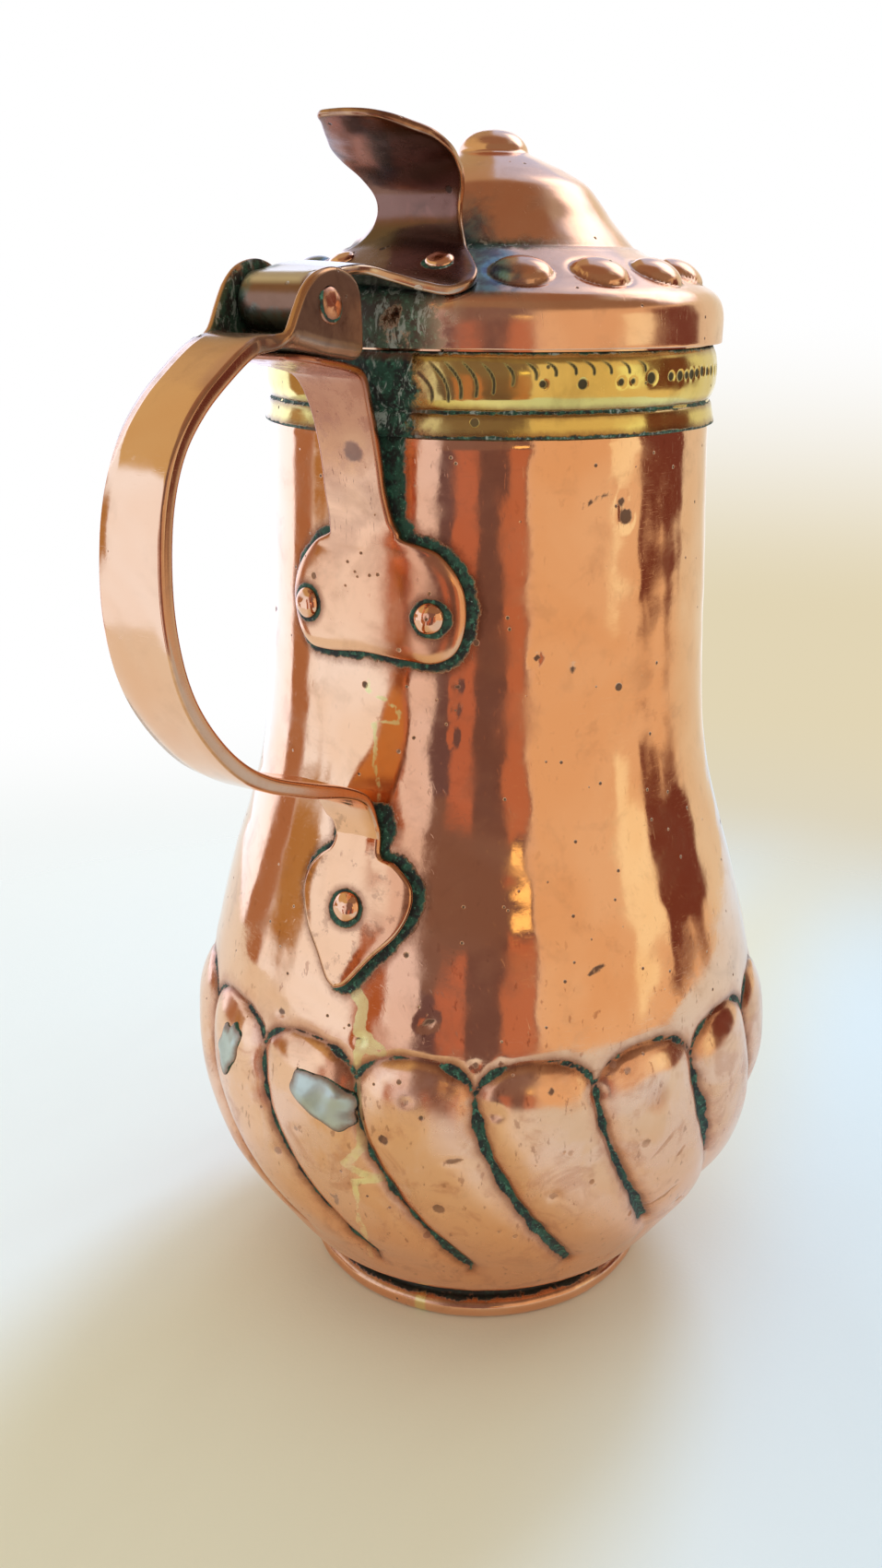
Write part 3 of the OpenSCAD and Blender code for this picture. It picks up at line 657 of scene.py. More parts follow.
def build_wall(material):
    columns = LOBES * LOBE_COLUMNS
    z = np.concatenate([np.linspace(8.4, 12, 6), np.linspace(13, 25, 11), np.arange(25.9, 92, 0.85),
                        np.arange(92.8, 212, 1.3), np.linspace(212.6, RIM_Z, 20)])

    def rows_at(heights):
        """Angle and height of every point of rows at these heights; the columns follow the lobes."""
        zz = np.repeat(heights, columns)
        return FIRST_CUSP + 360 * np.tile(np.arange(columns), len(heights)) / columns + drift(zz), zz
    a, zz = rows_at(z)
    plain = wall_xyz(a, zz)
    hammer = 0.05 * waves(plain, 22, 3) + 0.03 * waves(plain, 9, 4)
    hammer = hammer + 0.10 * waves(plain, 60, 5) * ease((225 - zz) / 30)
    lines, wide = groove_lines()
    groove = distance_to(plain, lines, wide)
    dent = dents(a % 360, zz)
    pit = distance_to(plain, *pit_points())
    out = hammer - dent - 0.5 * bell(np.maximum(groove, -0.2), 0.9) - 0.3 * bell(np.maximum(pit, 0), 0.6)
    fade = ease((zz - 9) / 4)
    outer = wall_xyz(a, zz, out * fade)
    fit = distance_to(plain, fitting_points())
    seam = distance_to(plain, *seam_points())
    # the inside, coarser, and joined to the outside at the rim and at the bottom
    zi = np.concatenate([[8.4], np.arange(12, 100, 4.5), np.arange(104, 240, 9.0), [RIM_Z]])[::-1]
    inner = wall_xyz(*rows_at(zi), -WALL_T)
    inner[:, 2] = np.clip(inner[:, 2], z[0], RIM_Z)
    # each attribute outside, and its one value inside
    fields = {"groove": (groove, 30), "fitting": (fit, 30), "pit": (pit, 30), "dent": (dent, 0),
              "seam": (seam, 30), "inside": (0 * zz, 1)}
    attrs = {key: np.concatenate([field, np.full(len(inner), value)]) for key, (field, value) in fields.items()}
    quads = ring_quads(len(z) + len(zi), columns, wrap_rows=True)
    piece("jug_wall", np.concatenate([outer, inner]), quads, material=material, attrs=attrs,
          node="body_shell", slot="copper")


# ---------------------------------------------------------------- foot, collar, solder

def build_foot(material):
    r, thick = 43.0, 2.9  # the roll's middle and half thickness

    def arc(start, end, n):
        return [(r + thick * math.cos(t), max(0.0, thick + thick * math.sin(t)))
                for t in np.linspace(start * math.pi, end * math.pi, n)]
    line = arc(-0.5, 0.55, 16) + [(42.4, 6.2), (42.5, 7.2), (42.2, 8.2), (40, 8.2), (38.6, 8.2), (38.5, 7.1),
                                  (40.9, 7), (40.7, 6.2), (40.4, 5.0)] + arc(0.85, 1.4, 7)

    def uneven(a, r0, z0):
        p = np.stack([r0 * np.cos(a), r0 * np.sin(a), z0], 1)
        return (0.10 * waves(p, 14, 21) - 0.12) * ease((z0 - 0.3) / 1.2)
    verts, quads, angle = revolve(line, 260, uneven)
    gap = np.maximum(0, 5.7 - verts[:, 2])
    joint = np.abs(np.degrees(angle) - 192.5) * math.pi / 180 * 45
    piece("foot_roll", verts, quads, material=material, attrs={"groove": gap, "seam": joint},
          node="foot_ring", slot="copper")


# the collar's punched marks: crescents from angle, height to angle, height
CRESCENTS = [(194.6, 236.2, 197.4, 230.0), (197.0, 238.4, 201.4, 230.6), (200.2, 238.7, 204.2, 231.4),
             (204.0, 238.9, 207.6, 231.8), (207.8, 239.1, 211.4, 232.4), (212.2, 239.3, 215.6, 234.0),
             (216.6, 239.5, 220.8, 235.2), (221.0, 239.5, 225.3, 235.9), (225.4, 239.6, 230.0, 236.2),
             (230.0, 239.6, 234.4, 236.1), (234.4, 239.6, 238.8, 236.2), (239.0, 239.6, 243.8, 236.2),
             (244.0, 239.6, 248.6, 236.5)]
# and dots with angle, height and size
DOTS = [(222.3, 234.2, 0.7), (231.7, 234.1, 1.1), (241.6, 234.3, 0.7), (245, 234.4, 0.5), (250.6, 234.9, 1.3),
        (257.5, 235, 0.9), (261.1, 235, 1.1), (264, 235, 0.8), (266.6, 235.1, 1.1), (269.4, 235.3, 0.9),
        (272.5, 235.5, 1.1), (276.5, 235.3, 0.9), (280.3, 235.3, 1.1), (285, 235.2, 1.0), (290, 235.1, 1.0)]


def build_collar(material):
    bead = smooth([[51.3, 228.5], [52.1, 229.6], [52.75, 231.6], [52.9, 234.2], [52.8, 236.6], [52.4, 238.6],
                   [51.6, 240.3]], 6)
    band = smooth([[51.7, 223.25], [52.4, 223.1], [52.85, 223.5], [52.6, 225], [52.2, 226.8], [51.9, 227.8],
                   [51.4, 228.3]], 4)
    line = np.concatenate([band[:-1], bead, [[50.9, 240.35], [50.85, 234], [50.85, 227]]])

    def uneven(a, r0, z0):
        p = np.stack([r0 * np.cos(a), r0 * np.sin(a), z0], 1)
        return (0.06 * waves(p, 17, 31) + 0.03 * waves(p, 7, 32) - 0.08) * (r0 > 51.2)
    verts, quads, angle = revolve(line, 720, uneven)
    rr = np.hypot(verts[:, 0], verts[:, 1])

    def on_bead(degrees, z, r):
        a = np.radians(degrees)
        return np.stack([r * np.cos(a), r * np.sin(a), z], -1)
    # the crescents go on round the unseen sides
    starts = [296 + i * 9.4 + (i % 3) * 0.8 for i in range(26)]
    unseen = [(a, 239.4, a + 4.2, 235.4) for a in starts if a % 360 < 160 or a % 360 > 292]
    t = np.linspace(0, 1, 24)
    bow = 1.5 * np.sin(t * math.pi)
    marks = [on_bead(a0 + (a1 - a0) * t + bow, z0 + (z1 - z0) * t, 52.7) for a0, z0, a1, z1 in CRESCENTS + unseen]
    dist = distance_to(verts, np.concatenate(marks))
    spot = np.full(len(verts), 9.0)
    for a0, z0, size in DOTS:
        spot = np.minimum(spot, np.linalg.norm(verts - on_bead(a0, z0, 52.8), axis=1) - size * 0.75)
    push = 0.05 * bell(dist, 0.4) + 0.3 * bell(np.maximum(spot, 0), 0.4)
    front = rr > 51.2
    verts[:, :2] -= (verts[:, :2] / rr[:, None]) * (push * front)[:, None]
    groove = np.abs(verts[:, 2] - 228.4) + 9 * (~front)
    low = np.maximum(0, verts[:, 2] - 223.2)
    # how far round from the strap, where the old polish has built up
    s = ((np.degrees(angle) - 181) + 180) % 360 - 180
    s = s * math.pi / 180 * 52.5
    strap = np.where(s > 0, s - 8.0, -s - 9.5)
    top = np.maximum(0, 240.3 - verts[:, 2])
    piece("collar_band", verts, quads, material=material, node="collar", slot="brass",
          attrs={"mark": dist, "spot": spot, "groove": groove, "low": low, "fitting": strap, "top": top})


def solder_patch(z0, a0, long, wide, tilt, high, seed):
    """A flattened lump of solder run onto the wall, as rings round its middle, and how far in each point is."""
    spokes, rings = 96, 26
    t = np.linspace(0, 2 * math.pi, spokes, endpoint=False)
    r = np.random.default_rng(seed)
    edge = 1 + sum(r.uniform(-0.07, 0.07) * np.cos(k * t + r.uniform(0, 6.28)) for k in range(2, 9))
    rho = np.linspace(0, 1, rings + 1)[1:] ** 0.8
    x = np.concatenate([[0], (rho[:, None] * edge * np.cos(t) * long / 2).ravel()])
    y = np.concatenate([[0], (rho[:, None] * edge * np.sin(t) * wide / 2).ravel()])
    c, s = math.cos(math.radians(tilt)), math.sin(math.radians(tilt))
    across, up = x * c - y * s, x * s + y * c
    q = np.stack([across, up, 0 * up], 1)
    full = np.concatenate([[0], np.repeat(rho, spokes)])
    h = high * np.sqrt(np.maximum(0, 1 - full**3)) * (1 + 0.35 * waves(q, 6, seed))
    h = np.where(full > 0.999, -0.25, np.maximum(h, 0.12))
    z = z0 + up
    a = a0 + np.degrees(across / plain_r(z))
    verts = wall_xyz(a, z, h)
    tris = [(0, 1 + k, 1 + (k + 1) % spokes) for k in range(spokes)]
    quads = ring_quads(rings, spokes, 1)
    return verts, quads, np.array(tris), (1 - full) * wide / 2


def build_solder(material):
    v1, q1, t1, e1 = solder_patch(75.9, 181.9, 18.4, 11.0, -30, 1.15, 41)
    v2, q2, t2, e2 = solder_patch(76.4, 155.6, 15, 8.0, 72, 0.9, 43)
    n = len(v1)
    piece("solder_lumps", np.concatenate([v1, v2]), np.concatenate([q1, q2 + n]), np.concatenate([t1, t2 + n]),
          material=material, node="solder_repairs", slot="solder", attrs={"edge_mm": np.concatenate([e1, e2])})


# ---------------------------------------------------------------- bracket, handle, rivets

PLATE_T, LEAF_T = 2.6, 2.4  # thickness of the two fittings where they lie on the wall


def rounded(away, width):
    """How far a rounded edge of this width has dropped, from 1 at the rim to 0 at its inner end."""
    return 1 - np.sqrt(np.clip(1 - (1 - np.clip(away / width, 0, 1)) ** 2, 0, 1))


class Path:
    """A line in the X-Z plane given as (distance from the axis, height), by arc length."""

    def __init__(self, points, step=0.5):
        self.p = even(points, step)
        self.s = np.concatenate([[0], np.cumsum(np.linalg.norm(np.diff(self.p, axis=0), axis=1))])

    def at(self, v):
        v = np.asarray(v, float)
        return self.take(v, 0), self.take(v, 1)

    def take(self, v, k):
        x = np.interp(v, self.s, self.p[:, k])
        # carry on straight past both ends
        lo = (self.p[1, k] - self.p[0, k]) / (self.s[1] - self.s[0])
        hi = (self.p[-1, k] - self.p[-2, k]) / (self.s[-1] - self.s[-2])
        return x + np.minimum(v, 0) * lo + np.maximum(v - self.s[-1], 0) * hi

    def find(self, d, z, lo=0.0, hi=1e9):
        """Arc length of the path's point nearest to (d, z)."""
        use = (self.s >= lo) & (self.s <= hi)
        i = np.argmin(np.hypot(self.p[use, 0] - d, self.p[use, 1] - z))
        return self.s[use][i]


def build_bracket(material):
    """The plate on the neck and the strap that runs from it up under the hinge."""
    wall = [(plain_r(z) + GAP + PLATE_T / 2, z) for z in np.arange(172, 199.5, 1.5)]
    rise = smooth([[54, 200.5], [54.05, 206], [54.8, 214], [56.7, 222.5], [59.6, 230.5], [63.6, 236],
                   [69.6, 237.9], [78, 239.2], [85, 240.4]], 8)
    path = Path(np.concatenate([np.array(wall, float), rise]))
    end = path.find(85, 240.4)
    # the plate's outline runs from the left shoulder round the bottom to the right shoulder
    ring = smooth(PLATE, 10, True)
    low = [(x, float(np.interp(PLATE_Z + y, path.p[:80, 1], path.s[:80]))) for x, y in ring if y < 17.5]
    left = [(-w, path.find(d, z)) for w, d, z in (
        (8.0, 54.05, 206), (7.7, 54.8, 214), (7.6, 56.7, 222.5), (7.9, 59.6, 230.5), (8.6, 63.6, 236),
        (9.4, 69.6, 237.9), (10.0, 78, 239.2))] + [(-10, end - 4), (-8.5, end - 1), (-6, end)]
    right = [(-x * (0.94 if v < path.find(63.6, 236) else 1), v) for x, v in left]
    outline = low + smooth(right, 6).tolist() + smooth(left, 6)[::-1].tolist()
    v_wrap = path.find(54.05, 206)  # the sheet follows the wall's curve up to here

    def place(uv):
        u, v = uv[:, 0], uv[:, 1]
        d, z = path.at(v)
        w = 1 - ease((v - v_wrap + 6) / 14)
        ang = np.radians(PLATE_TURN) + np.arcsin(np.clip(u / d, -0.95, 0.95))
        wrapped = np.stack([d * np.cos(ang), d * np.sin(ang), z], 1)
        crown = 0.45 * (1 - (np.clip(np.abs(u), 0, 8) / 8) ** 2)
        flat = np.stack([-d - crown * (1 - w) * ease((z - 200) / 10), -u, z], 1)
        return wrapped * w[:, None] + flat * (1 - w)[:, None]

    def thick(uv):
        return np.interp(uv[:, 1], [v_wrap - 8, v_wrap + 20, end - 14, end], [PLATE_T, 2.3, 1.6, 1.3])

    def pillow(uv, away):
        on_plate = 1 - ease((uv[:, 1] - v_wrap + 9) / 8)
        return 1.35 * on_plate * rounded(away, 4.2)

    def rivet_gap(uv):
        side = math.radians(PLATE_SPREAD) * 54.5
        v_rivet = path.find(float(plain_r(PLATE_Z)) + GAP + PLATE_T / 2, PLATE_Z, hi=40)
        return np.hypot(np.abs(uv[:, 0]) - side, uv[:, 1] - v_rivet) - RIVET_R
    sheet_piece("bracket_strap", outline, place, thick, 0.6, 1.0, pillow=pillow, extra={"rivet": rivet_gap},
                material=material, node="strap_bracket", slot="copper_strap")


EAR_NEAR, EAR_FAR = 12.0, 8.4  # how far the ears' outer faces are from the handle's middle, on its two sides
PIN_D, PIN_Z, PIN_R = 79, 250, 3  # the hinge pin: distance from the axis, height and radius
RIVET_R = 3.4
# the strap's middle line as distance from the axis and height, from the bracket round the loop to the wall
HANDLE_LINE = [[67.8, 240.1], [79, 241.5], [86.5, 243], [91.5, 243.4], [96.8, 241.9], [103.2, 238.2],
               [110.6, 232.8], [116.6, 226], [120.3, 217.2], [121.9, 206.5], [121.6, 195.5], [119, 184.6],
               [114, 175.4], [105.6, 166], [96.1, 159.6], [82, 154], [70, 150], [62.8, 146.4], [59.8, 141.8],
               [58.9, 137.5]]


def build_handle(material):
    """One strap: the hinge's floor with its two folded ears, the loop and the leaf on the wall."""
    loop = smooth(HANDLE_LINE, 8)
    wall = np.array([(plain_r(z) + GAP + LEAF_T / 2, z) for z in np.arange(136, 100, -1.0)])
    path = Path(np.concatenate([loop[:-4], wall]))
    neck = path.find(58.9, 138)
    bend = 1.6  # radius of the fold
    lift = bend * math.pi / 2

    def fold(sign):
        """How far out the floor goes before it turns up into the ear."""
        return np.where(sign > 0, EAR_NEAR, EAR_FAR) - 1.1 - bend

    def v_floor(d):
        return float(np.interp(d, path.p[:56, 0], path.s[:56]))

    def ear_uv(d, z, sign, rise):
        v = v_floor(d)
        z = z + rise * max(0, z - 243) / 13  # the far ear stands a little higher
        return float(fold(sign)) + lift + (z - path.at(v)[1] - bend), v

    def v_leaf(z):
        low = path.s > neck - 3
        return float(np.interp(-z, -path.p[low, 1], path.s[low]))
    half = 7.8
    # one edge of the strap from the loop, over the fold and round the ear, to the floor's end
    ear = [(91.2, 244.9), (90.4, 245.9), (88.4, 249.3), (86.0, 252.6), (82.4, 255.2), (78, 256.3), (73.8, 255.9),
           (70.5, 254.2), (68.7, 251.4), (68.2, 247.6), (68.0, 244.4)]
    sides = []
    for sign, rise in ((1, 0.0), (-1, 1.4)):
        reach = float(fold(sign))
        flap = [(half, v_floor(97)), (max(half, reach - 0.6), v_floor(94.6)), (reach + 0.9, v_floor(93.2)),
                (reach + 2.2, v_floor(92.0))]
        flap += [ear_uv(d, z, sign, rise) for d, z in ear]
        flap += [(reach + 2.0, v_floor(68.0)), (reach, 0.1), (reach - 2, 0.0)]
        sides.append(smooth(flap, 6)[::-1].tolist())
    body_v = np.arange(v_floor(98.5), path.find(66, 148.4), 2.0)
    edge_b = [(half + 0.12 * math.sin(v / 13.0 + 1), v) for v in body_v]
    right_low = [(7.9, v_leaf(142.5)), (8.3, v_leaf(138)), (8.4, v_leaf(135)), (9.1, v_leaf(132.3))]
    left_low = [(-6.2, v_leaf(142.8)), (-4.0, v_leaf(138.6)), (-3.2, v_leaf(135)), (-4.0, v_leaf(132.3))]

    def leaf_edge(points):
        return [(x + LEAF_SHIFT, v_leaf(LEAF_Z + y)) for x, y in points]
    leaf_r, leaf_l = leaf_edge(LEAF[13:]), leaf_edge(LEAF[6:0:-1])
    tip = [(LEAF_SHIFT, v_leaf(LEAF_Z + LEAF[0][1]))]
    side_right = sides[0] + edge_b + smooth([edge_b[-1]] + right_low + leaf_r + tip, 8)[1:].tolist()
    side_left = [(-u, v) for u, v in sides[1] + edge_b]
    side_left += smooth([(-edge_b[-1][0], edge_b[-1][1])] + left_low + leaf_l + tip, 8)[1:-1].tolist()
    outline = np.array(side_right + side_left[::-1])

    def place(uv):
        u, v = uv[:, 0], uv[:, 1]
        d, z = path.at(v)
        sign, a = np.sign(u), np.abs(u)
        flat_to = fold(sign)
        turn = np.clip((a - flat_to) / bend, 0, math.pi / 2)
        y = np.minimum(a, flat_to) + bend * np.sin(turn)
        up = bend * (1 - np.cos(turn)) + np.maximum(0, a - flat_to - lift)
        flat = np.stack([-d, -sign * y, z + up], 1)
        w = ease((v - neck + 7) / 9)
        ang = np.radians(180) + np.arcsin(np.clip(u / d, -0.9, 0.9))
        wrapped = np.stack([d * np.cos(ang), d * np.sin(ang), z], 1)
        return wrapped * w[:, None] + flat * (1 - w)[:, None]

    v0, v1 = v_floor(90), v_floor(101)
    loop_end = path.find(66, 148.4)

    def thick(uv):
        return np.interp(uv[:, 1], [v0, v1, loop_end - 16, loop_end], [2.2, 3.4, 3.4, LEAF_T])
    v_rivet = v_leaf(LEAF_Z)

    def pillow(uv, away):
        on_leaf = ease((uv[:, 1] - v_leaf(133)) / 4)
        return 1.2 * on_leaf * rounded(away, 3.6)

    def rivet_gap(uv):
        return np.hypot(uv[:, 0] - LEAF_SHIFT, uv[:, 1] - v_rivet) - RIVET_R

    def ear_part(uv):
        near_hinge = 1 - ease((uv[:, 1] - v_floor(90)) / 6)
        return near_hinge * ease((np.abs(uv[:, 0]) - fold(np.sign(uv[:, 0])) - 0.6) / 1.6)

    def hinge_floor(uv):
        return 1 - ease((uv[:, 1] - v_floor(94)) / 5)
    sheet_piece("handle_strap", outline, place, thick, 0.95, 1.1, pillow=pillow,
                extra={"rivet": rivet_gap, "ear": ear_part, "floor_part": hinge_floor}, material=material,
                node="handle", slot="copper_handle")


def dome_rivet(center, normal, radius, high, seed, sink=0.4, facets=0.02):
    """Vertices and quads of a hammered domed head, as rings from its sunk foot to its top."""
    n = Vector(normal).normalized()
    x = n.orthogonal().normalized()
    y = n.cross(x)
    rings, spokes = 14, 40
    verts = []
    r = np.random.default_rng(seed)
    c = np.array(center)
    for j in range(rings + 1):
        t = j / rings
        rho = radius * math.cos(t * math.pi / 2)
        h = high * math.sin(t * math.pi / 2)
        for k in range(spokes):
            a = 2 * math.pi * k / spokes
            wob = 1 + facets * math.sin(2 * a + r.uniform(0, 0.01) + seed)
            wob += facets * 0.6 * math.sin(5 * a + seed * 2)
            flat = high * facets * 1.5 * math.sin(3 * a + seed) * math.sin(t * math.pi)
            q = np.array(x) * rho * wob * math.cos(a) + np.array(y) * rho * wob * math.sin(a)
            verts.append(c + q + np.array(n) * (h + flat if j else -sink))
    quads = ring_quads(rings + 1, spokes)
    return np.array(verts), quads


def join(parts):
    """Several parts' vertices and quads as one."""
    verts, quads, first = [], [], 0
    for v, q in parts:
        verts.append(v)
        quads.append(q + first)
        first += len(v)
    return np.concatenate(verts), np.concatenate(quads)


def wall_rivet(a, z, above, seed):
    """A rivet's head on a fitting, above mm from the wall."""
    center = wall_xyz(np.array([a]), np.array([float(z)]), above)[0]
    grade = float((plain_r(z + 0.2) - plain_r(z - 0.2)) / 0.4)
    normal = (math.cos(math.radians(a)), math.sin(math.radians(a)), -grade)
    return dome_rivet(center, normal, RIVET_R, 2.2, seed)


def build_rivets(material):
    v, q = join([wall_rivet(PLATE_TURN + side * PLATE_SPREAD, PLATE_Z, GAP + PLATE_T, seed)
                 for side, seed in ((-1, 3), (1, 4))])
    piece("plate_rivets", v, q, material=material, node="bracket_rivets", slot="copper_strap")
    v, q = wall_rivet(LEAF_TURN, LEAF_Z, GAP + LEAF_T, 9)
    piece("leaf_rivet", v, q, material=material, node="handle_rivet", slot="copper_strap")


def build_pin(material):
    parts = [dome_rivet((-PIN_D, s * y, z), (0, s, 0), 3.5, 1.0, 5 + s, sink=0.3, facets=0.05)
             for s, y, z in ((-1, EAR_NEAR + 0.05, 249.4), (1, EAR_FAR + 0.05, 250.4))]
    spokes, rings = 48, 9
    a = np.linspace(0, 2 * math.pi, spokes, endpoint=False)
    shaft = np.concatenate([np.stack([PIN_R * np.cos(a) - PIN_D, np.full(spokes, y), PIN_Z + PIN_R * np.sin(a)], 1)
                            for y in np.linspace(-EAR_NEAR, EAR_FAR, rings)])
    v, q = join(parts + [(shaft, ring_quads(rings, spokes))])
    near = np.abs(np.hypot(v[:, 0] + PIN_D, v[:, 2] - PIN_Z) - 3.3)
    piece("pin", v, q, material=material, node="hinge_pin", slot="copper_dark", attrs={"near": near})


# ---------------------------------------------------------------- lid

CONE_OUT, CONE_IN = (51.4, 251.9), (33.2, 260.8)
SLOPE = (CONE_IN[1] - CONE_OUT[1]) / (CONE_OUT[0] - CONE_IN[0])
BOSSES, BOSS_START, BOSS_RING, BOSS_R, BOSS_H = 13, 38.8, 44.0, 6.5, 2.6


def cone_z(r):
    """Height of the lid's sloping ring at radius r."""
    return CONE_OUT[1] + (CONE_OUT[0] - r) * SLOPE


def build_lid(material):
    skirt = smooth([[53.3, 240.85], [53.6, 241.2], [53.62, 243.5], [53.6, 246.2], [53.35, 248.2], [52.7, 250.0],
                    [51.5, 251.5], [49.9, 252.55], [48.2, 253.42]], 6)
    ring = np.stack([np.linspace(48.2, 34.2, 26), cone_z(np.linspace(48.2, 34.2, 26)) - 0.05], 1)[1:]
    dome = smooth([[33.4, 260.75], [32.5, 261.1], [31.7, 261.9], [30.4, 263.4], [27.3, 266.9], [24.2, 271.1],
                   [21.2, 274.4], [16.5, 277.1], [11.8, 279.3], [9.1, 280.5], [8.2, 281.05]], 6)
    knob = smooth([[7.95, 281.5], [7.5, 282.6], [6.4, 284.0], [4.6, 285.2], [2.4, 285.8], [0.05, 285.95]], 5)
    outer = np.concatenate([skirt, ring, dome, knob])
    inner = np.array([[0.05, 279.6], [7.5, 279.5], [11, 278], [15.6, 275.8], [20.2, 273.1], [23, 270],
                      [26.2, 265.7], [29.4, 262], [31.6, 260], [33, 259.3], [50.4, 250.7], [51.7, 249.4],
                      [52.05, 247.5], [52.15, 243], [52.2, 241.2], [52.6, 240.85]])
    line = np.concatenate([outer, inner])
    columns = 420
    boss_angles = 180 + BOSS_START + np.arange(BOSSES) * (360 - 2 * BOSS_START) / (BOSSES - 1)
    outside = np.repeat(np.arange(len(line)) < len(outer), columns)

    def from_boss(a, r0):
        """Distance in the ring's surface from the nearest boss's middle."""
        deg = np.degrees(a)
        best = np.full(len(a), 99.0)
        for b in boss_angles:
            t = ((deg - b + 180) % 360 - 180) * math.pi / 180 * r0
            best = np.minimum(best, np.hypot(t, (BOSS_RING - 0.6 - r0) * math.hypot(1, SLOPE) * 1.16))
        return best
    boss_gap = []

    def shift(a, r0, z0):
        p = np.stack([r0 * np.cos(a), r0 * np.sin(a), z0], 1)
        h = np.where(outside, 0.05 * waves(p, 24, 51) + 0.025 * waves(p, 8, 52) - 0.03, 0)
        best = from_boss(a, r0)
        on = outside & (z0 > 249.0) & (z0 < 264)
        cap = BOSS_H * np.maximum(0, 1 - (best / BOSS_R) ** 2) ** 0.62
        h = h + np.where(on, cap - 0.18 * bell(best - BOSS_R - 0.5, 0.7), 0)
        boss_gap.append(np.where(on, np.abs(best - BOSS_R - 0.3), 20))
        return h * ease((z0 - 240.7) / 0.8)
    verts, quads, angle = revolve(line, columns, shift)
    s = ((np.degrees(angle) - 180) + 180) % 360 - 180
    r0 = np.hypot(verts[:, 0], verts[:, 1])
    # distance in plan from the hinge strap's outline, below zero under the strap
    lobe = distance_to(verts * [-1, 1, 0], strap_outline_plan())
    half = np.interp(np.clip(-verts[:, 0], 33, 79), PLAN_D, PLAN_U)
    under = (-verts[:, 0] > 33) & (np.abs(verts[:, 1]) < half)
    lobe = np.where(outside, np.where(under, -lobe, lobe), 30)
    base = np.where(outside, np.abs(r0 - 32.8), 30)
    piece("lid_sheet", verts, quads, material=material, body="lid", node="lid_shell", slot="copper_lid",
          attrs={"boss": boss_gap[0], "lobe": lobe, "dome_base": base, "turn": s})


# the hinge strap: distance from the axis, height and half width, from the barrel to the lobe, on its two sides
NEAR_WIDTHS = [
    (79, 254.7, 9.35), (70, 255.85, 9.2), (64, 256.3, 8.6), (59, 255.9, 10.2), (54, 254.5, 15.4),
    (49.4, 254.1, 20.6), (45.6, 256.0, 22.5), (41.6, 257.9, 21.4), (37.4, 260.0, 17.6)]
FAR_WIDTHS = [
    (79, 254.7, 5.75), (70, 255.85, 5.65), (64, 256.3, 5.6), (60, 256.1, 7.0), (57, 255.4, 10.4),
    (53.6, 254.4, 15.4), (49.4, 254.1, 20.6), (45.6, 256.0, 22.3), (41.6, 257.9, 21.0), (37.4, 260.0, 16.4)]
# the thumbpiece: sideways reach and distance from the free end, up its near edge and down its far one
THUMB = [(14.9, 37.1), (11.9, 32.8), (10.9, 28.9), (11.7, 25.5), (12.7, 22.0), (12.9, 19.7), (13.3, 14.9),
         (12.5, 9.2), (10.0, 4.6), (7.2, 0.9), (3.5, -1.5), (-1.2, -2.4), (-5.8, -2.0), (-8.6, -1.0), (-9.4, 1.4),
         (-12.0, 6.8), (-15.0, 13.2), (-15.4, 18.4), (-12.7, 22.2), (-10.6, 25.9), (-9.9, 28.5), (-10.1, 31.3),
         (-11.3, 34.4)]
# the strap's outline in plan, as distance from the axis and half width
PLAN_D = [33, 34.3, 37.4, 41.6, 45.6, 49.4, 54, 59, 64, 70, 79]
PLAN_U = [12, 14.3, 18.2, 21.6, 22.5, 20.6, 15.4, 10.2, 8.6, 9.2, 9.4]


def strap_outline_plan():
    line = smooth(np.stack([PLAN_D, PLAN_U, np.zeros(len(PLAN_D))], 1), 10)
    return np.concatenate([line, line * [1, -1, 1]])


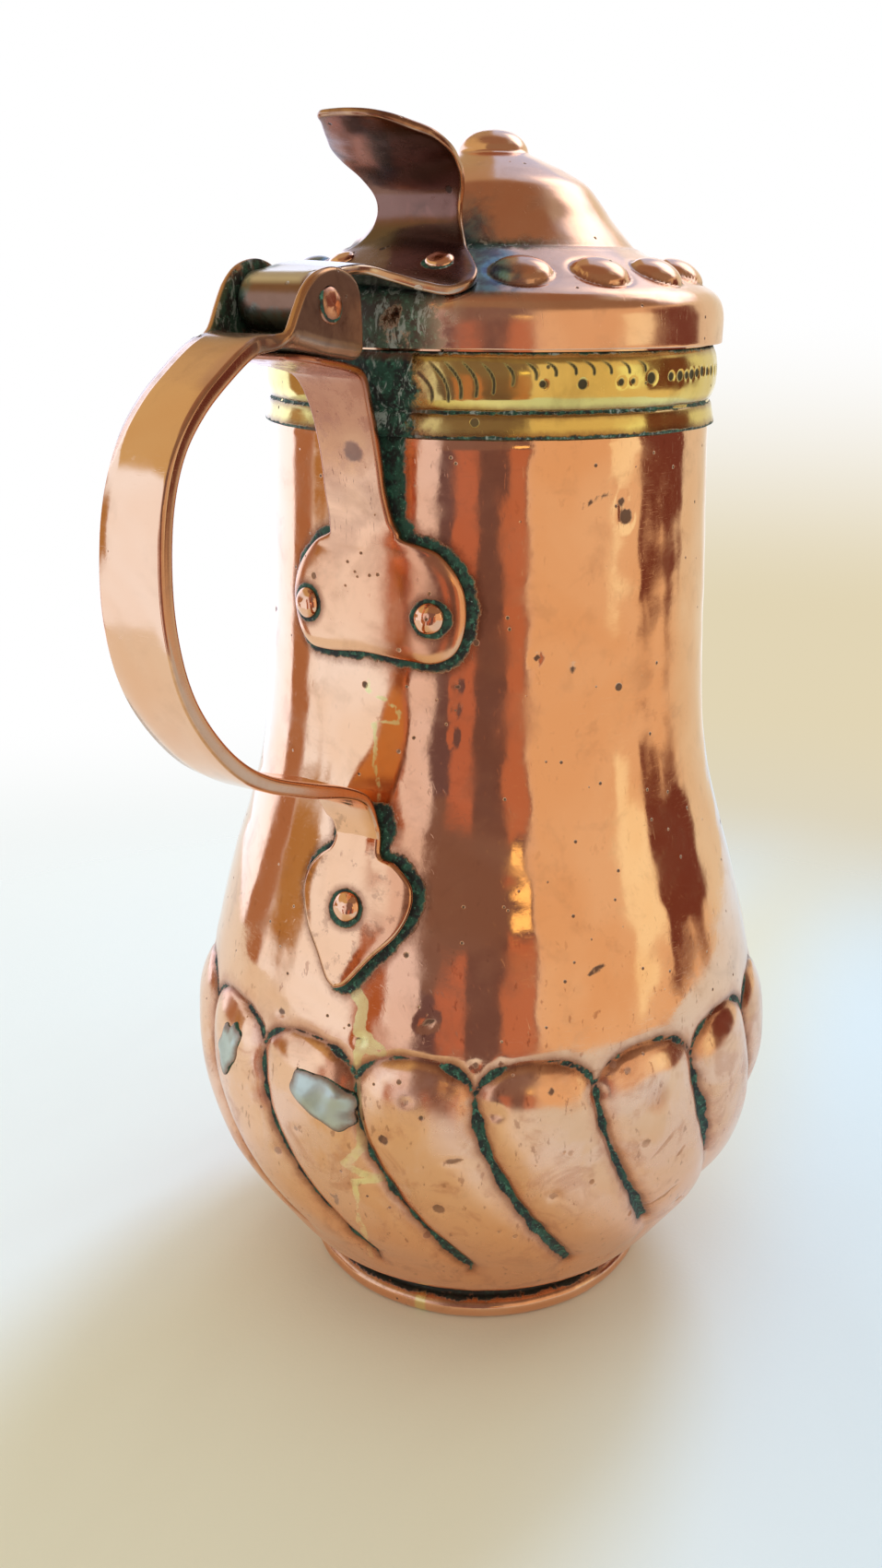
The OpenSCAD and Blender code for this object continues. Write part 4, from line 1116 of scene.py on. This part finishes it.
def build_lid_strap(material):
    """One strap: the barrel rolled round the pin, the lobes on the lid and the thumbpiece."""
    c = np.array([PIN_D, PIN_Z])
    mid = 4.7  # radius of the barrel's middle surface
    roll = [c + mid * np.array([math.cos(a), math.sin(a)]) for a in np.radians(np.arange(-215, 90, 10))]
    run = smooth([[79, 254.7], [73, 255.5], [67, 256.15], [61, 256.25], [57, 255.5], [53, 254.1], [49.6, 253.95],
                  [46, 255.75], [42, 257.7], [38, 259.65], [35.4, 261.0], [33.2, 262.8], [31.8, 265.4],
                  [31.2, 269.0], [32.3, 272.8], [36.2, 276.7], [42.5, 279.8], [48, 282], [53.3, 284.3]], 8)
    path = Path(np.concatenate([np.array(roll), run]), 0.4)
    top = path.find(79, 254.7, lo=18)
    end = path.s[-1]

    def rail(widths):
        rows = [(w, path.find(d, z, lo=top - 2)) for d, z, w in widths]
        return [(rows[0][0], 0.6), (rows[0][0], top * 0.5)] + rows
    # +u is the near side, -Y
    near, far = rail(NEAR_WIDTHS), [(-w, v) for w, v in rail(FAR_WIDTHS)]
    thumb = [(u, end - back) for u, back in THUMB]
    outline = smooth(near + thumb + far[::-1], 8)
    crease = path.find(33.4, 262.6, lo=top)

    def place(uv):
        u, v = uv[:, 0], uv[:, 1]
        d, z = path.at(v)
        w = ease((v - top - 14) / 8) * (1 - ease((v - crease + 2.0) / 5))
        drop = SLOPE * (np.hypot(d, u) - d) * w
        # the thumbpiece is a little cupped
        cup = 0.006 * u * u * ease((v - crease - 8) / 10)
        # the strap leans a little: its far edge is the higher one
        lean = -0.055 * (u - 1.8) * ease((v - top) / 8) * (1 - ease((v - top - 20) / 8))
        return np.stack([-d, -u, z - drop + cup + lean], 1)

    def thick(uv):
        return np.interp(uv[:, 1], [0, 3, crease, end - 4, end], [1.4, 2.0, 2.0, 2.0, 1.7])

    def rivet_gap(uv):
        v_rivet = path.find(42.4, 257.5, lo=top)
        return np.hypot(np.abs(uv[:, 0]) - 12.3, uv[:, 1] - v_rivet) - 3.0

    def on_strap(uv):
        return ease((uv[:, 1] - top + 3) / 5) * (1 - ease((uv[:, 1] - top - 26) / 9))

    def on_thumb(uv):
        return ease((uv[:, 1] - crease + 1) / 6)
    sheet_piece("lid_hinge_strap", outline, place, thick, 0.7, 1.0,
                extra={"rivet": rivet_gap, "strap": on_strap, "thumb": on_thumb}, material=material, body="lid",
                node="lid_strap", slot="copper_dark")


def build_lid_rivets(material):
    ring, heads = 43.6, []
    for side, seed in ((-1, 13), (1, 14)):
        a = math.radians(180 + side * 16.4)
        center = (ring * math.cos(a), ring * math.sin(a), cone_z(ring) + 2.15)
        normal = (SLOPE * math.cos(a), SLOPE * math.sin(a), 1)
        heads.append(dome_rivet(center, normal, 3.1, 1.35, seed, sink=0.3))
    v, q = join(heads)
    piece("lid_rivet_heads", v, q, material=material, body="lid", node="lid_rivets", slot="copper_strap")


# ---------------------------------------------------------------- materials

LIGHT, DEEP = (0.93, 0.57, 0.37), (0.88, 0.48, 0.27)
SEAM_BRASS = (0.88, 0.76, 0.36)
RIM_DARK, MARK_TONE = (0.20, 0.07, 0.04), (0.022, 0.014, 0.006)


def stain_spot(s, p, distance, reach, color=(0.10, 0.045, 0.03), amount=0.9):
    """A dark stain with a soft ragged edge where distance is below reach."""
    d = s.ragged(distance, p["co"], 0.7, reach * 1.4, 3.0)
    s.layer(p, s.mul(s.below(d, 0.0, reach), amount), color, rough=0.5, metal=0.3, metal_share=0.5)


def wall_extra(s, p):
    co = p["co"]
    # brown in the dents, by their depth: partly a stain, partly painted shade in the hollows
    s.layer(p, s.step(s.attr("dent"), 0.25, 0.75), (0.52, 0.17, 0.07), 0.6)
    stain_spot(s, p, s.attr("pit"), 0.5)
    # the brazed seam, broken here and there
    line = s.ragged(s.attr("seam"), co, 0.45, 1.5, 3.0)
    seam = s.mul(s.below(line, 0.0, 0.35), s.step(s.noise(co, 0.13, 2.0, 0.5), 0.30, 0.40))
    s.layer(p, seam, SEAM_BRASS, 0.92, rough=0.24, metal=0.3, metal_share=0.35)
    # the belly is duller than the neck, more orange towards the foot, with pale bloom and brown clouds
    z = s.coordinate(co, 2)
    low = s.below(z, 78, 96)
    s.rougher(p, low, 0.10)
    s.layer(p, s.below(z, 18, 62), (0.88, 0.42, 0.22), 0.75)
    bloom = s.mul(s.step(s.noise(co, 0.05, 4.0, 0.6, 0.7), 0.42, 0.60), low, s.step(z, 30, 62))
    s.layer(p, bloom, (0.95, 0.64, 0.51), 0.6)
    # painted reflection: deeper orange low on the belly, on the side to the camera's right, for the warm floor it
    # reflects there
    warm = s.mul(s.below(z, 56, 92), s.step(s.dot(co, *CAMERA_RIGHT), -25, 10))
    s.layer(p, warm, (0.86, 0.42, 0.20), 0.45)
    s.layer(p, s.mul(s.step(s.noise(co, 0.085, 5.0, 0.65, 0.6), 0.52, 0.66), low), (0.62, 0.27, 0.15), 0.5)
    fleck = s.step(s.noise(s.stretch(co, 0.5, 0.5, 0.25), 1.0, 4.0, 0.6), 0.62, 0.70)
    s.layer(p, s.mul(fleck, s.step(z, 100, 120, 1.0, 0.25)), (0.34, 0.13, 0.07), 0.5)
    near = s.below(s.ragged(s.attr("groove"), co, 0.3, 5.0), 0.3, 4.5)
    s.layer(p, near, (0.56, 0.21, 0.11), 0.5)
    s.rougher(p, s.most(bloom, near), 0.06)
    # the inside is tinned
    tin = s.mix(s.step(p["mid"], 0.4, 0.65), (0.50, 0.50, 0.49), (0.30, 0.29, 0.27))
    s.layer(p, s.attr("inside"), tin, rough=0.42)


def foot_extra(s, p):
    s.layer(p, s.below(s.attr("seam"), 1.0, 1.8), SEAM_BRASS, 0.8)


def collar_extra(s, p):
    marks = s.most(s.below(s.attr("mark"), 0.2, 0.55), s.below(s.attr("spot"), 0.05, 0.45))
    s.layer(p, marks, MARK_TONE, 0.95, rough=0.5, metal=0.3)


def edge_wear(s, p, dark):
    """A dark line just inside a piece's edges."""
    line = s.below(s.ragged(s.attr("edge_mm"), p["co"], 0.4, 0.8, 3.0), 0.1, 0.9)
    s.layer(p, line, RIM_DARK, dark)
    p["rough"] = s.blend(s.mul(line, dark * 0.6), p["rough"], 0.36)


def strap_extra(s, p):
    co = p["co"]
    edge_wear(s, p, 0.45)
    z = s.coordinate(co, 2)
    # grey smudges and scratches on the part that stands free
    smudge = s.mul(s.step(z, 206, 226), s.step(s.noise(co, 0.20, 5.0, 0.7), 0.46, 0.62))
    s.layer(p, smudge, (0.40, 0.20, 0.15), 0.4)
    s.rougher(p, smudge, 0.18)
    along = s.step(s.noise(s.stretch(co, 2.6, 2.6, 0.16), 1.0, 3.0, 0.6), 0.60, 0.66)
    marks = s.mul(along, s.step(z, 198, 208), s.step(s.noise(co, 0.3, 2.0, 0.5), 0.45, 0.6))
    s.layer(p, marks, (0.14, 0.06, 0.04), 0.7)
    hollow = s.node("VectorMath", {"operation": "DISTANCE"}, _0=co, _1=(-57, -1.5, 220.5)).outputs["Value"]
    stain_spot(s, p, s.add(hollow, -1.9), 1.0, (0.16, 0.15, 0.15), 0.8)
    # painted shade: browner towards the hinge, darkening the bright reflection on the part that stands free; more
    # orange on the plate
    painted_shade_height = s.add(z, s.mul(s.add(p["mid"], -0.5), 14.0))
    s.layer(p, s.step(painted_shade_height, 208, 232), (0.47, 0.185, 0.12), 0.8)
    s.layer(p, s.step(z, 190, 206, 0.3, 0.0), (0.84, 0.42, 0.22))
    p["rough"] = s.add(p["rough"], 0.04)


def handle_extra(s, p):
    co = p["co"]
    edge_wear(s, p, 0.4)
    ear, floor = s.attr("ear"), s.attr("floor_part")
    y, z = s.coordinate(co, 1), s.coordinate(co, 2)
    # old oxide on the ears and between them, a little thinner in places
    patchy = s.step(s.noise(co, 0.16, 5.0, 0.65, 0.4), 0.18, 0.62, 1.0, 0.8)
    oxide = s.mul(s.most(ear, s.mul(floor, 0.8)), patchy)
    s.layer(p, oxide, (0.088, 0.036, 0.027), rough=0.25, metal=0.2, metal_share=0.55)
    # the edges of the ears are rubbed bright
    rim = s.mul(ear, s.below(s.attr("edge_mm"), 0.3, 0.8), 0.7)
    s.layer(p, rim, (0.72, 0.36, 0.16), rough=0.2, metal=1.0)
    # verdigris on the inner faces, between the ears
    middle = s.below(s.math("ABSOLUTE", s.add(y, 1.8)), 4.5, 8.0)
    inner = s.mul(s.most(ear, floor), s.step(s.attr("side"), -0.2, 0.2), middle)
    far_face = s.mul(ear, s.step(y, 5.0, 5.8), s.below(y, 6.6, 7.2))
    green = s.mul(s.most(s.mul(inner, 0.7), far_face), s.step(s.noise(co, 0.25, 4.0, 0.6), 0.34, 0.5))
    s.layer(p, green, grime_color(s, co), 0.9, rough=0.6)
    # old grey marks on the leaf and above it, on a more orange ground
    patches = s.noise(co, 0.26, 4.0, 0.65)
    leaf = s.mul(s.below(z, 124, 128), s.step(patches, 0.52, 0.62))
    above = s.mul(s.below(z, 138, 146), s.step(patches, 0.56, 0.64))
    s.layer(p, s.most(leaf, above), (0.20, 0.11, 0.09), 0.5)
    s.layer(p, s.step(z, 138, 146, 0.35, 0.0), (0.84, 0.42, 0.20))


def dark_extra(s, p):
    co = p["co"]
    edge_wear(s, p, 0.2)
    x, y, z = (s.coordinate(co, axis) for axis in range(3))
    # painted highlight: the flat strap between the hinge and the lid is painted pale and greyish where it is lit
    # from above
    s.layer(p, s.attr("strap"), (0.66, 0.58, 0.50), 0.85, rough=0.22)
    # warmer streaks on the thumbpiece, a gold line at its edges
    streak = s.step(s.noise(s.stretch(co, 0.25, 0.25, 0.10), 1.0, 4.0, 0.6, 0.5), 0.50, 0.68)
    s.layer(p, s.mul(streak, s.attr("thumb")), (0.30, 0.13, 0.10), 0.4)
    rim = s.mul(s.below(s.attr("edge_mm"), 0.2, 0.55), s.step(p["mid"], 0.35, 0.6, 0.15, 0.75))
    s.layer(p, rim, (0.66, 0.38, 0.22), rough=0.2)
    # green in the angle of the fold
    s.layer(p, s.mul(s.step(z, 259.5, 262.0), s.below(z, 263.5, 266.5)), (0.10, 0.11, 0.07), 0.45)
    # the barrel is brown, with a painted highlight along its top, and green on its far and lower parts
    barrel = s.below(x, -74.5, -71.5)
    s.layer(p, barrel, (0.26, 0.135, 0.085), 0.8, rough=0.3)
    # painted highlight: a pale band along the top of the barrel
    s.layer(p, s.mul(barrel, s.step(z, 252.8, 254.4)), (0.80, 0.71, 0.60), 0.92)
    far = s.most(s.step(s.ragged(y, co, 0.22, 9.0), 2.0, 6.0), s.below(s.ragged(z, co, 0.22, 9.0), 246.5, 249.5))
    green = s.mix(s.step(p["mid"], 0.4, 0.6), grime_color(s, co), (0.16, 0.24, 0.20))
    s.layer(p, s.mul(barrel, far), green, 0.85, rough=0.42)


def lid_extra(s, p):
    co = p["co"]
    turn = s.math("ABSOLUTE", s.attr("turn"))
    z = s.coordinate(co, 2)
    # blue-green bloom beside the lobes, on the hinge's side
    d = s.add(s.attr("lobe"), s.mul(s.add(s.noise(co, 0.10, 4.0, 0.6, 0.5), -0.5), 16.0))
    bloom = s.mul(s.below(d, 4.0, 12.0), s.below(turn, 34, 62), s.step(z, 250.0, 252.5))
    tone = s.mix(s.step(s.noise(co, 0.3, 4.0, 0.6), 0.40, 0.62), (0.030, 0.090, 0.17), (0.09, 0.24, 0.30))
    s.layer(p, bloom, tone, 0.92, rough=0.3)
    # green black where the dome meets the ring, strongest by the thumbpiece
    base = s.below(s.ragged(s.attr("dome_base"), co, 0.3, 3.0), 0.3, 2.4)
    base = s.mul(base, s.step(turn, 35, 70, 1.0, 0.12))
    s.layer(p, base, grime_color(s, co), 0.9, rough=0.5)
    round_boss = s.add(s.attr("boss"), s.mul(s.add(p["fine"], -0.5), 0.8))
    s.layer(p, s.below(round_boss, 0.1, 0.8), (0.20, 0.10, 0.08), 0.45)
    # black crust on the skirt behind the hinge
    patches = s.add(s.noise(co, 0.12, 5.0, 0.65), s.mul(turn, -0.008))
    crust = s.mul(s.below(turn, 13, 27), s.step(patches, 0.28, 0.38), s.below(z, 254, 257))
    s.layer(p, crust, grime_color(s, co), 0.92, rough=0.6, metal=0.2)


def build_materials():
    rivet_grime = ("rivet", 0.7, 1.7, 0.35)
    return {
        "copper": metal("copper_wall", LIGHT, DEEP, 0.065, 0.12, spots=0.35, stain=0.22, extra=wall_extra,
                        grime=[("fitting", 1.3, 3.0, 0.9), ("groove", 0.1, 0.8, 0.5)]),
        "foot": metal("copper_foot", (0.88, 0.52, 0.34), (0.84, 0.44, 0.26), 0.14, 0.25, spots=0.4, stain=0.2,
                      extra=foot_extra, grime=[("groove", 0.2, 0.9, 0.6)]),
        "brass": metal("brass_collar", (0.86, 0.68, 0.24), (0.78, 0.58, 0.18), 0.11, 0.18, spots=0.4, stain=0.3,
                       tarnish=(0.30, 0.19, 0.06), extra=collar_extra,
                       grime=[("groove", 0.25, 0.8, 0.4), ("low", 0.4, 1.1, 0.5), ("fitting", 2.0, 8.0, 3.4),
                              ("top", 0.1, 1.2, 0.6)]),
        "solder": metal("solder_grey", (0.62, 0.66, 0.60), (0.44, 0.48, 0.44), 0.30, 0.5, spots=0.6, stain=0.3,
                        tarnish=(0.12, 0.11, 0.10), dull=0.25, grime=[("edge_mm", 0.1, 0.6, 0.5)]),
        "strap": metal("copper_strap", (0.92, 0.54, 0.33), (0.86, 0.45, 0.26), 0.10, 0.14, spots=0.6,
                       extra=strap_extra, grime=[rivet_grime]),
        "handle": metal("copper_handle", (0.93, 0.58, 0.385), (0.89, 0.50, 0.30), 0.085, 0.05, spots=0.12,
                        stain=0.15, extra=handle_extra, grime=[rivet_grime]),
        "rivet": metal("copper_rivet", (0.93, 0.57, 0.38), (0.88, 0.48, 0.30), 0.09, 0.05, spots=0.2, stain=0.2),
        "lid": metal("copper_lid", (0.92, 0.57, 0.39), (0.85, 0.47, 0.29), 0.14, 0.15, spots=0.2, stain=0.3,
                     extra=lid_extra),
        "dark": metal("copper_dark", (0.27, 0.14, 0.105), (0.19, 0.085, 0.065), 0.20, 0.3, stain=0.7,
                      tarnish=(0.06, 0.05, 0.04), extra=dark_extra, grime=[("rivet", 0.2, 0.9, 0.3)]),
        "pin": metal("copper_pin", (0.86, 0.48, 0.33), (0.72, 0.34, 0.22), 0.2, 0.3, stain=0.5,
                     grime=[("near", 0.15, 0.5, 0.2)]),
    }


# ---------------------------------------------------------------- stage, light, camera

CAMERA_FORWARD, CAMERA_RIGHT = (0.8616, 0.5075), (0.5075, -0.8616)  # level directions
DISTANCE, CAMERA_Z = 0.36100, 0.25429  # metres from the jug's axis and above the floor
# degrees down, sideways, and the camera's lean, against the clockwise lean of the photo
PITCH, YAW, ROLL = math.radians(18.91), math.radians(-1.72), math.radians(-0.378)
PHOTO_H, FOCAL_PX, SENSOR = 1701, 1600, 36
TARGET = Vector((0, 0, 0.12))  # where the light points
CAMERA_SIDE = 210.5  # angle of the camera's side of the jug, from +X
REACH, REACH_PERSON = 0.55, 0.42  # how far the cloth goes in reflections, metres


def build_camera():
    sideways, ahead = math.sin(YAW), math.cos(YAW)
    flat = [r * sideways + f * ahead for r, f in zip(CAMERA_RIGHT, CAMERA_FORWARD)]
    forward = Vector((flat[0] * math.cos(PITCH), flat[1] * math.cos(PITCH), -math.sin(PITCH)))
    right = forward.cross(Vector((0, 0, 1))).normalized()
    up = right.cross(forward)
    c, s = math.cos(ROLL), math.sin(ROLL)
    right, up = right * c - up * s, up * c + right * s
    cam = bpy.data.cameras.new("camera")
    cam.sensor_fit = "VERTICAL"
    cam.sensor_height = SENSOR
    cam.lens = SENSOR * FOCAL_PX / PHOTO_H
    cam.clip_start, cam.clip_end = 0.01, 20
    obj = bpy.data.objects.new("camera", cam)
    m = Matrix((right, up, -forward)).transposed().to_4x4()
    m.translation = Vector((-CAMERA_FORWARD[0] * DISTANCE, -CAMERA_FORWARD[1] * DISTANCE, CAMERA_Z))
    obj.matrix_world = m
    bpy.context.scene.collection.objects.link(obj)
    bpy.context.scene.camera = obj


def build_floor():
    """A pale cloth that fades into the backdrop."""
    spokes = 64
    a = np.linspace(0, 2 * math.pi, spokes, endpoint=False)
    rings = [0.5, 200, 500, 800, 1000]
    verts = np.concatenate([np.stack([r * np.cos(a), r * np.sin(a), 0 * a - 0.02], 1) for r in rings])
    mat = bpy.data.materials.new("floor_pale")
    mat.use_nodes = True
    s = Shader(mat.node_tree)
    co = s.node("TexCoord").outputs["Object"]
    x, y = s.dot(co, *CAMERA_RIGHT), s.dot(co, *CAMERA_FORWARD)
    # white, with painted bluish window light on the right and the jug's painted shadow, a warm patch in front and
    # to the left
    color = s.mix(s.step(x, -0.05, 0.16), (0.93, 0.94, 0.94), (0.78, 0.86, 0.93))
    # painted shadow of the jug, falling in front and to the left
    painted_jug_shadow = s.mul(s.below(s.add(y, s.mul(x, -1.3)), 0.04, 0.14), s.below(s.add(x, s.mul(y, -0.35)), 0.03, 0.10))
    color = s.mix(painted_jug_shadow, color, (0.85, 0.78, 0.63))
    weave, folds = s.noise(co, 900.0, 2.0, 0.5), s.noise(s.stretch(co, 3.0, 7.0, 1.0), 1.0, 3.0, 0.5, 0.4)
    bump = s.node("Bump", Strength=0.5, Distance=0.02, Height=s.add(folds, s.mul(weave, 0.004)))
    cloth = s.node("BsdfPrincipled", Base_Color=color, Roughness=0.9, Normal=bump.outputs[0],
                   Specular_IOR_Level=0.1).outputs[0]
    gone = s.node("BsdfTransparent").outputs[0]
    radius = s.node("VectorMath", {"operation": "LENGTH"}, _0=co).outputs["Value"]
    # reflections see the cloth end sooner on the side of the person who looks at the jug
    azimuth = s.mul(s.math("ARCTAN2", x, s.mul(y, -1.0)), 180 / math.pi)
    person = s.mul(s.step(azimuth, -64, -56), s.below(azimuth, 22, 26))
    reach = s.blend(person, REACH, REACH_PERSON)
    edge = s.blend(s.node("LightPath").outputs["Is Camera Ray"],
                   s.step(s.math("SUBTRACT", radius, reach), -0.005, 0.005), s.step(radius, 0.16, 0.40))
    s.finish(s.node("MixShader", _0=edge, _1=cloth, _2=gone).outputs[0])
    piece("floor", verts, ring_quads(len(rings), spokes), material=mat, body=None)


def area_light(name, azimuth, elevation, distance, size, power, color):
    """A soft round light; azimuth in degrees grows from the camera's side, anticlockwise seen from above."""
    t = math.radians(CAMERA_SIDE + azimuth)
    e = math.radians(elevation)
    pos = Vector((math.cos(t) * math.cos(e), math.sin(t) * math.cos(e), math.sin(e))) * distance + TARGET
    light = bpy.data.lights.new(name, "AREA")
    light.shape = "DISK"
    light.size = size
    light.energy = power
    light.color = color
    obj = bpy.data.objects.new(name, light)
    obj.location = pos
    obj.rotation_euler = (TARGET - pos).to_track_quat("-Z", "Y").to_euler()
    obj.visible_glossy = False
    obj.visible_camera = False
    bpy.context.scene.collection.objects.link(obj)


# plain shapes that the metal reflects: azimuth from and to, softness, elevation from and to, tone
SHAPES = [
    (-26, 22, 1.0, -60, 33, (0.225, 0.145, 0.13)),  # the person who looks at the jug
    (-26, -16, 1.0, -60, 0, (0.155, 0.10, 0.115)),
    (-16, -5, 1.2, -60, 4, (0.50, 0.20, 0.13)),
    (-5, 9, 1.0, -60, 4, (0.17, 0.10, 0.095)),
    (9, 21, 1.2, -60, 7, (0.52, 0.22, 0.13)),
    (90, 110, 3.0, 49, 60, (0.46, 0.45, 0.42)),
    (66, 83, 1.5, -6, 14, (1.02, 0.98, 0.68)),
    (84, 119, 0.8, -8.5, 21, (0.17, 0.055, 0.040)),  # a dark piece of furniture on the right
    (-50, -39, 1.0, -60, 8, (0.42, 0.15, 0.06)),  # brown things on the left
    (-103, -82, 1.2, -6.5, 10, (0.45, 0.27, 0.10)),
    (-120, -103, 1.5, -60, 10, (0.42, 0.22, 0.12)),
]
WHITE = (1.0, 1.0, 1.0)


def build_world():
    """A pale room for reflections, one even tone for diffuse light and a plain backdrop for the camera."""
    world = bpy.data.worlds.new("room")
    bpy.context.scene.world = world
    world.use_nodes = True
    s = Shader(world.node_tree)
    d = s.node("TexCoord").outputs["Generated"]
    # azimuth is 0 on the camera's side and grows to the picture's right
    x, y = s.dot(d, *CAMERA_RIGHT), s.dot(d, -CAMERA_FORWARD[0], -CAMERA_FORWARD[1])
    az = s.mul(s.math("ARCTAN2", x, y), 180 / math.pi)
    el = s.mul(s.math("ARCSINE", s.coordinate(d, 2)), 180 / math.pi)
    wob = s.mul(s.add(s.noise(d, 5.0, 3.0, 0.5), -0.5), 14.0)
    azw, elw = s.add(az, s.mul(wob, 0.5)), s.add(el, wob)
    # low down: bright cloth behind the jug, warm light on the right, pale on the left
    low = s.mix(s.step(az, -44, -36), (1.0, 1.18, 1.42), (0.84, 0.82, 0.92))
    for a, b, tone in ((14, 26, (0.82, 0.62, 0.40)), (100, 125, (0.80, 0.77, 0.60)),
                       (150, 175, (1.15, 1.2, 1.25))):
        low = s.mix(s.step(az, a, b), low, tone)
    low = s.mix(s.below(az, -124, -112), low, (1.35, 1.5, 1.9))
    # higher up: a brown wall above the person, a tan one on the left, sky behind
    behind = s.step(s.add(s.math("ABSOLUTE", az), s.mul(wob, 0.8)), 96, 122)
    mid = s.mix(behind, (0.30, 0.20, 0.13), (0.62, 0.76, 1.12))
    tan = s.mix(s.step(az, -152, -136), (0.46, 0.36, 0.20), (0.64, 0.52, 0.27))
    mid = s.mix(s.below(az, -34, -24), mid, tan)
    color = s.mix(s.step(s.add(el, s.mul(wob, 0.15)), 24, 29), low, mid)
    # a brown ceiling, which starts lower on the far left and higher behind on the right
    top = s.mix(s.step(y, -0.42, -0.12), (0.48, 0.37, 0.24), (0.30, 0.175, 0.11))
    lift = s.add(s.step(az, -140, -120, 12.0, 0.0), s.step(az, 122, 145, 0.0, -9.0))
    color = s.mix(s.step(s.add(el, lift), 54, 65), color, top)
    # a bright window behind on the right
    pane = s.mul(s.step(azw, 106, 122), s.below(azw, 150, 168), s.step(elw, 24, 34), s.below(elw, 46, 58))
    color = s.mix(pane, color, (2.4, 2.5, 2.7))
    for lo, hi, soft, down, up, tone in SHAPES:
        color = s.mix(s.mul(s.span(azw, lo, hi, soft), s.span(elw, down, up, 2.0)), color, tone)
    # a narrow bright lamp beside the person
    lamp = s.mul(s.step(az, 12.5, 13.5), s.below(az, 19.8, 20.5), s.step(el, 8.5, 9.5), s.below(el, 13, 14))
    color = s.mix(lamp, color, (1.6, 1.2, 0.5))
    # the backdrop as it is seen directly: white, greyer low down, creamy on the right of the photo's direction
    down = s.mul(el, -1.0)
    left_tone = s.mix(s.step(down, 16, 21), WHITE, (0.90, 0.93, 0.92))
    left_tone = s.mix(s.step(down, 21, 29), left_tone, (0.83, 0.85, 0.83))
    right_tone = WHITE
    for a, b, tone in ((1, 12, (0.76, 0.665, 0.46)), (15, 22, (0.715, 0.665, 0.535)),
                       (21, 30, (0.69, 0.76, 0.80))):
        right_tone = s.mix(s.step(down, a, b), right_tone, tone)
    seen = s.mix(s.mul(s.step(x, -0.04, 0.15), s.below(y, -0.88, -0.70)), left_tone, right_tone)
    path = s.node("LightPath")
    final = s.mix(path.outputs["Is Glossy Ray"], (0.82, 0.83, 0.74), color)
    final = s.mix(path.outputs["Is Camera Ray"], final, seen)
    s.finish(s.node("Background", Color=final, Strength=1.0).outputs[0], "World")


def main():
    m = build_materials()
    build_wall(m["copper"])
    build_foot(m["foot"])
    build_collar(m["brass"])
    build_solder(m["solder"])
    build_bracket(m["strap"])
    build_handle(m["handle"])
    build_rivets(m["rivet"])
    build_pin(m["pin"])
    build_lid(m["lid"])
    build_lid_strap(m["dark"])
    build_lid_rivets(m["rivet"])
    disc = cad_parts["base_disc"]
    disc.data.materials.clear()
    disc.data.materials.append(m["foot"])
    build_floor()
    area_light("window", azimuth=152, elevation=44, distance=1.5, size=0.5, power=7.5, color=(0.58, 0.86, 1.3))
    build_world()
    build_camera()
    bpy.context.scene.view_settings.view_transform = "Standard"


main()
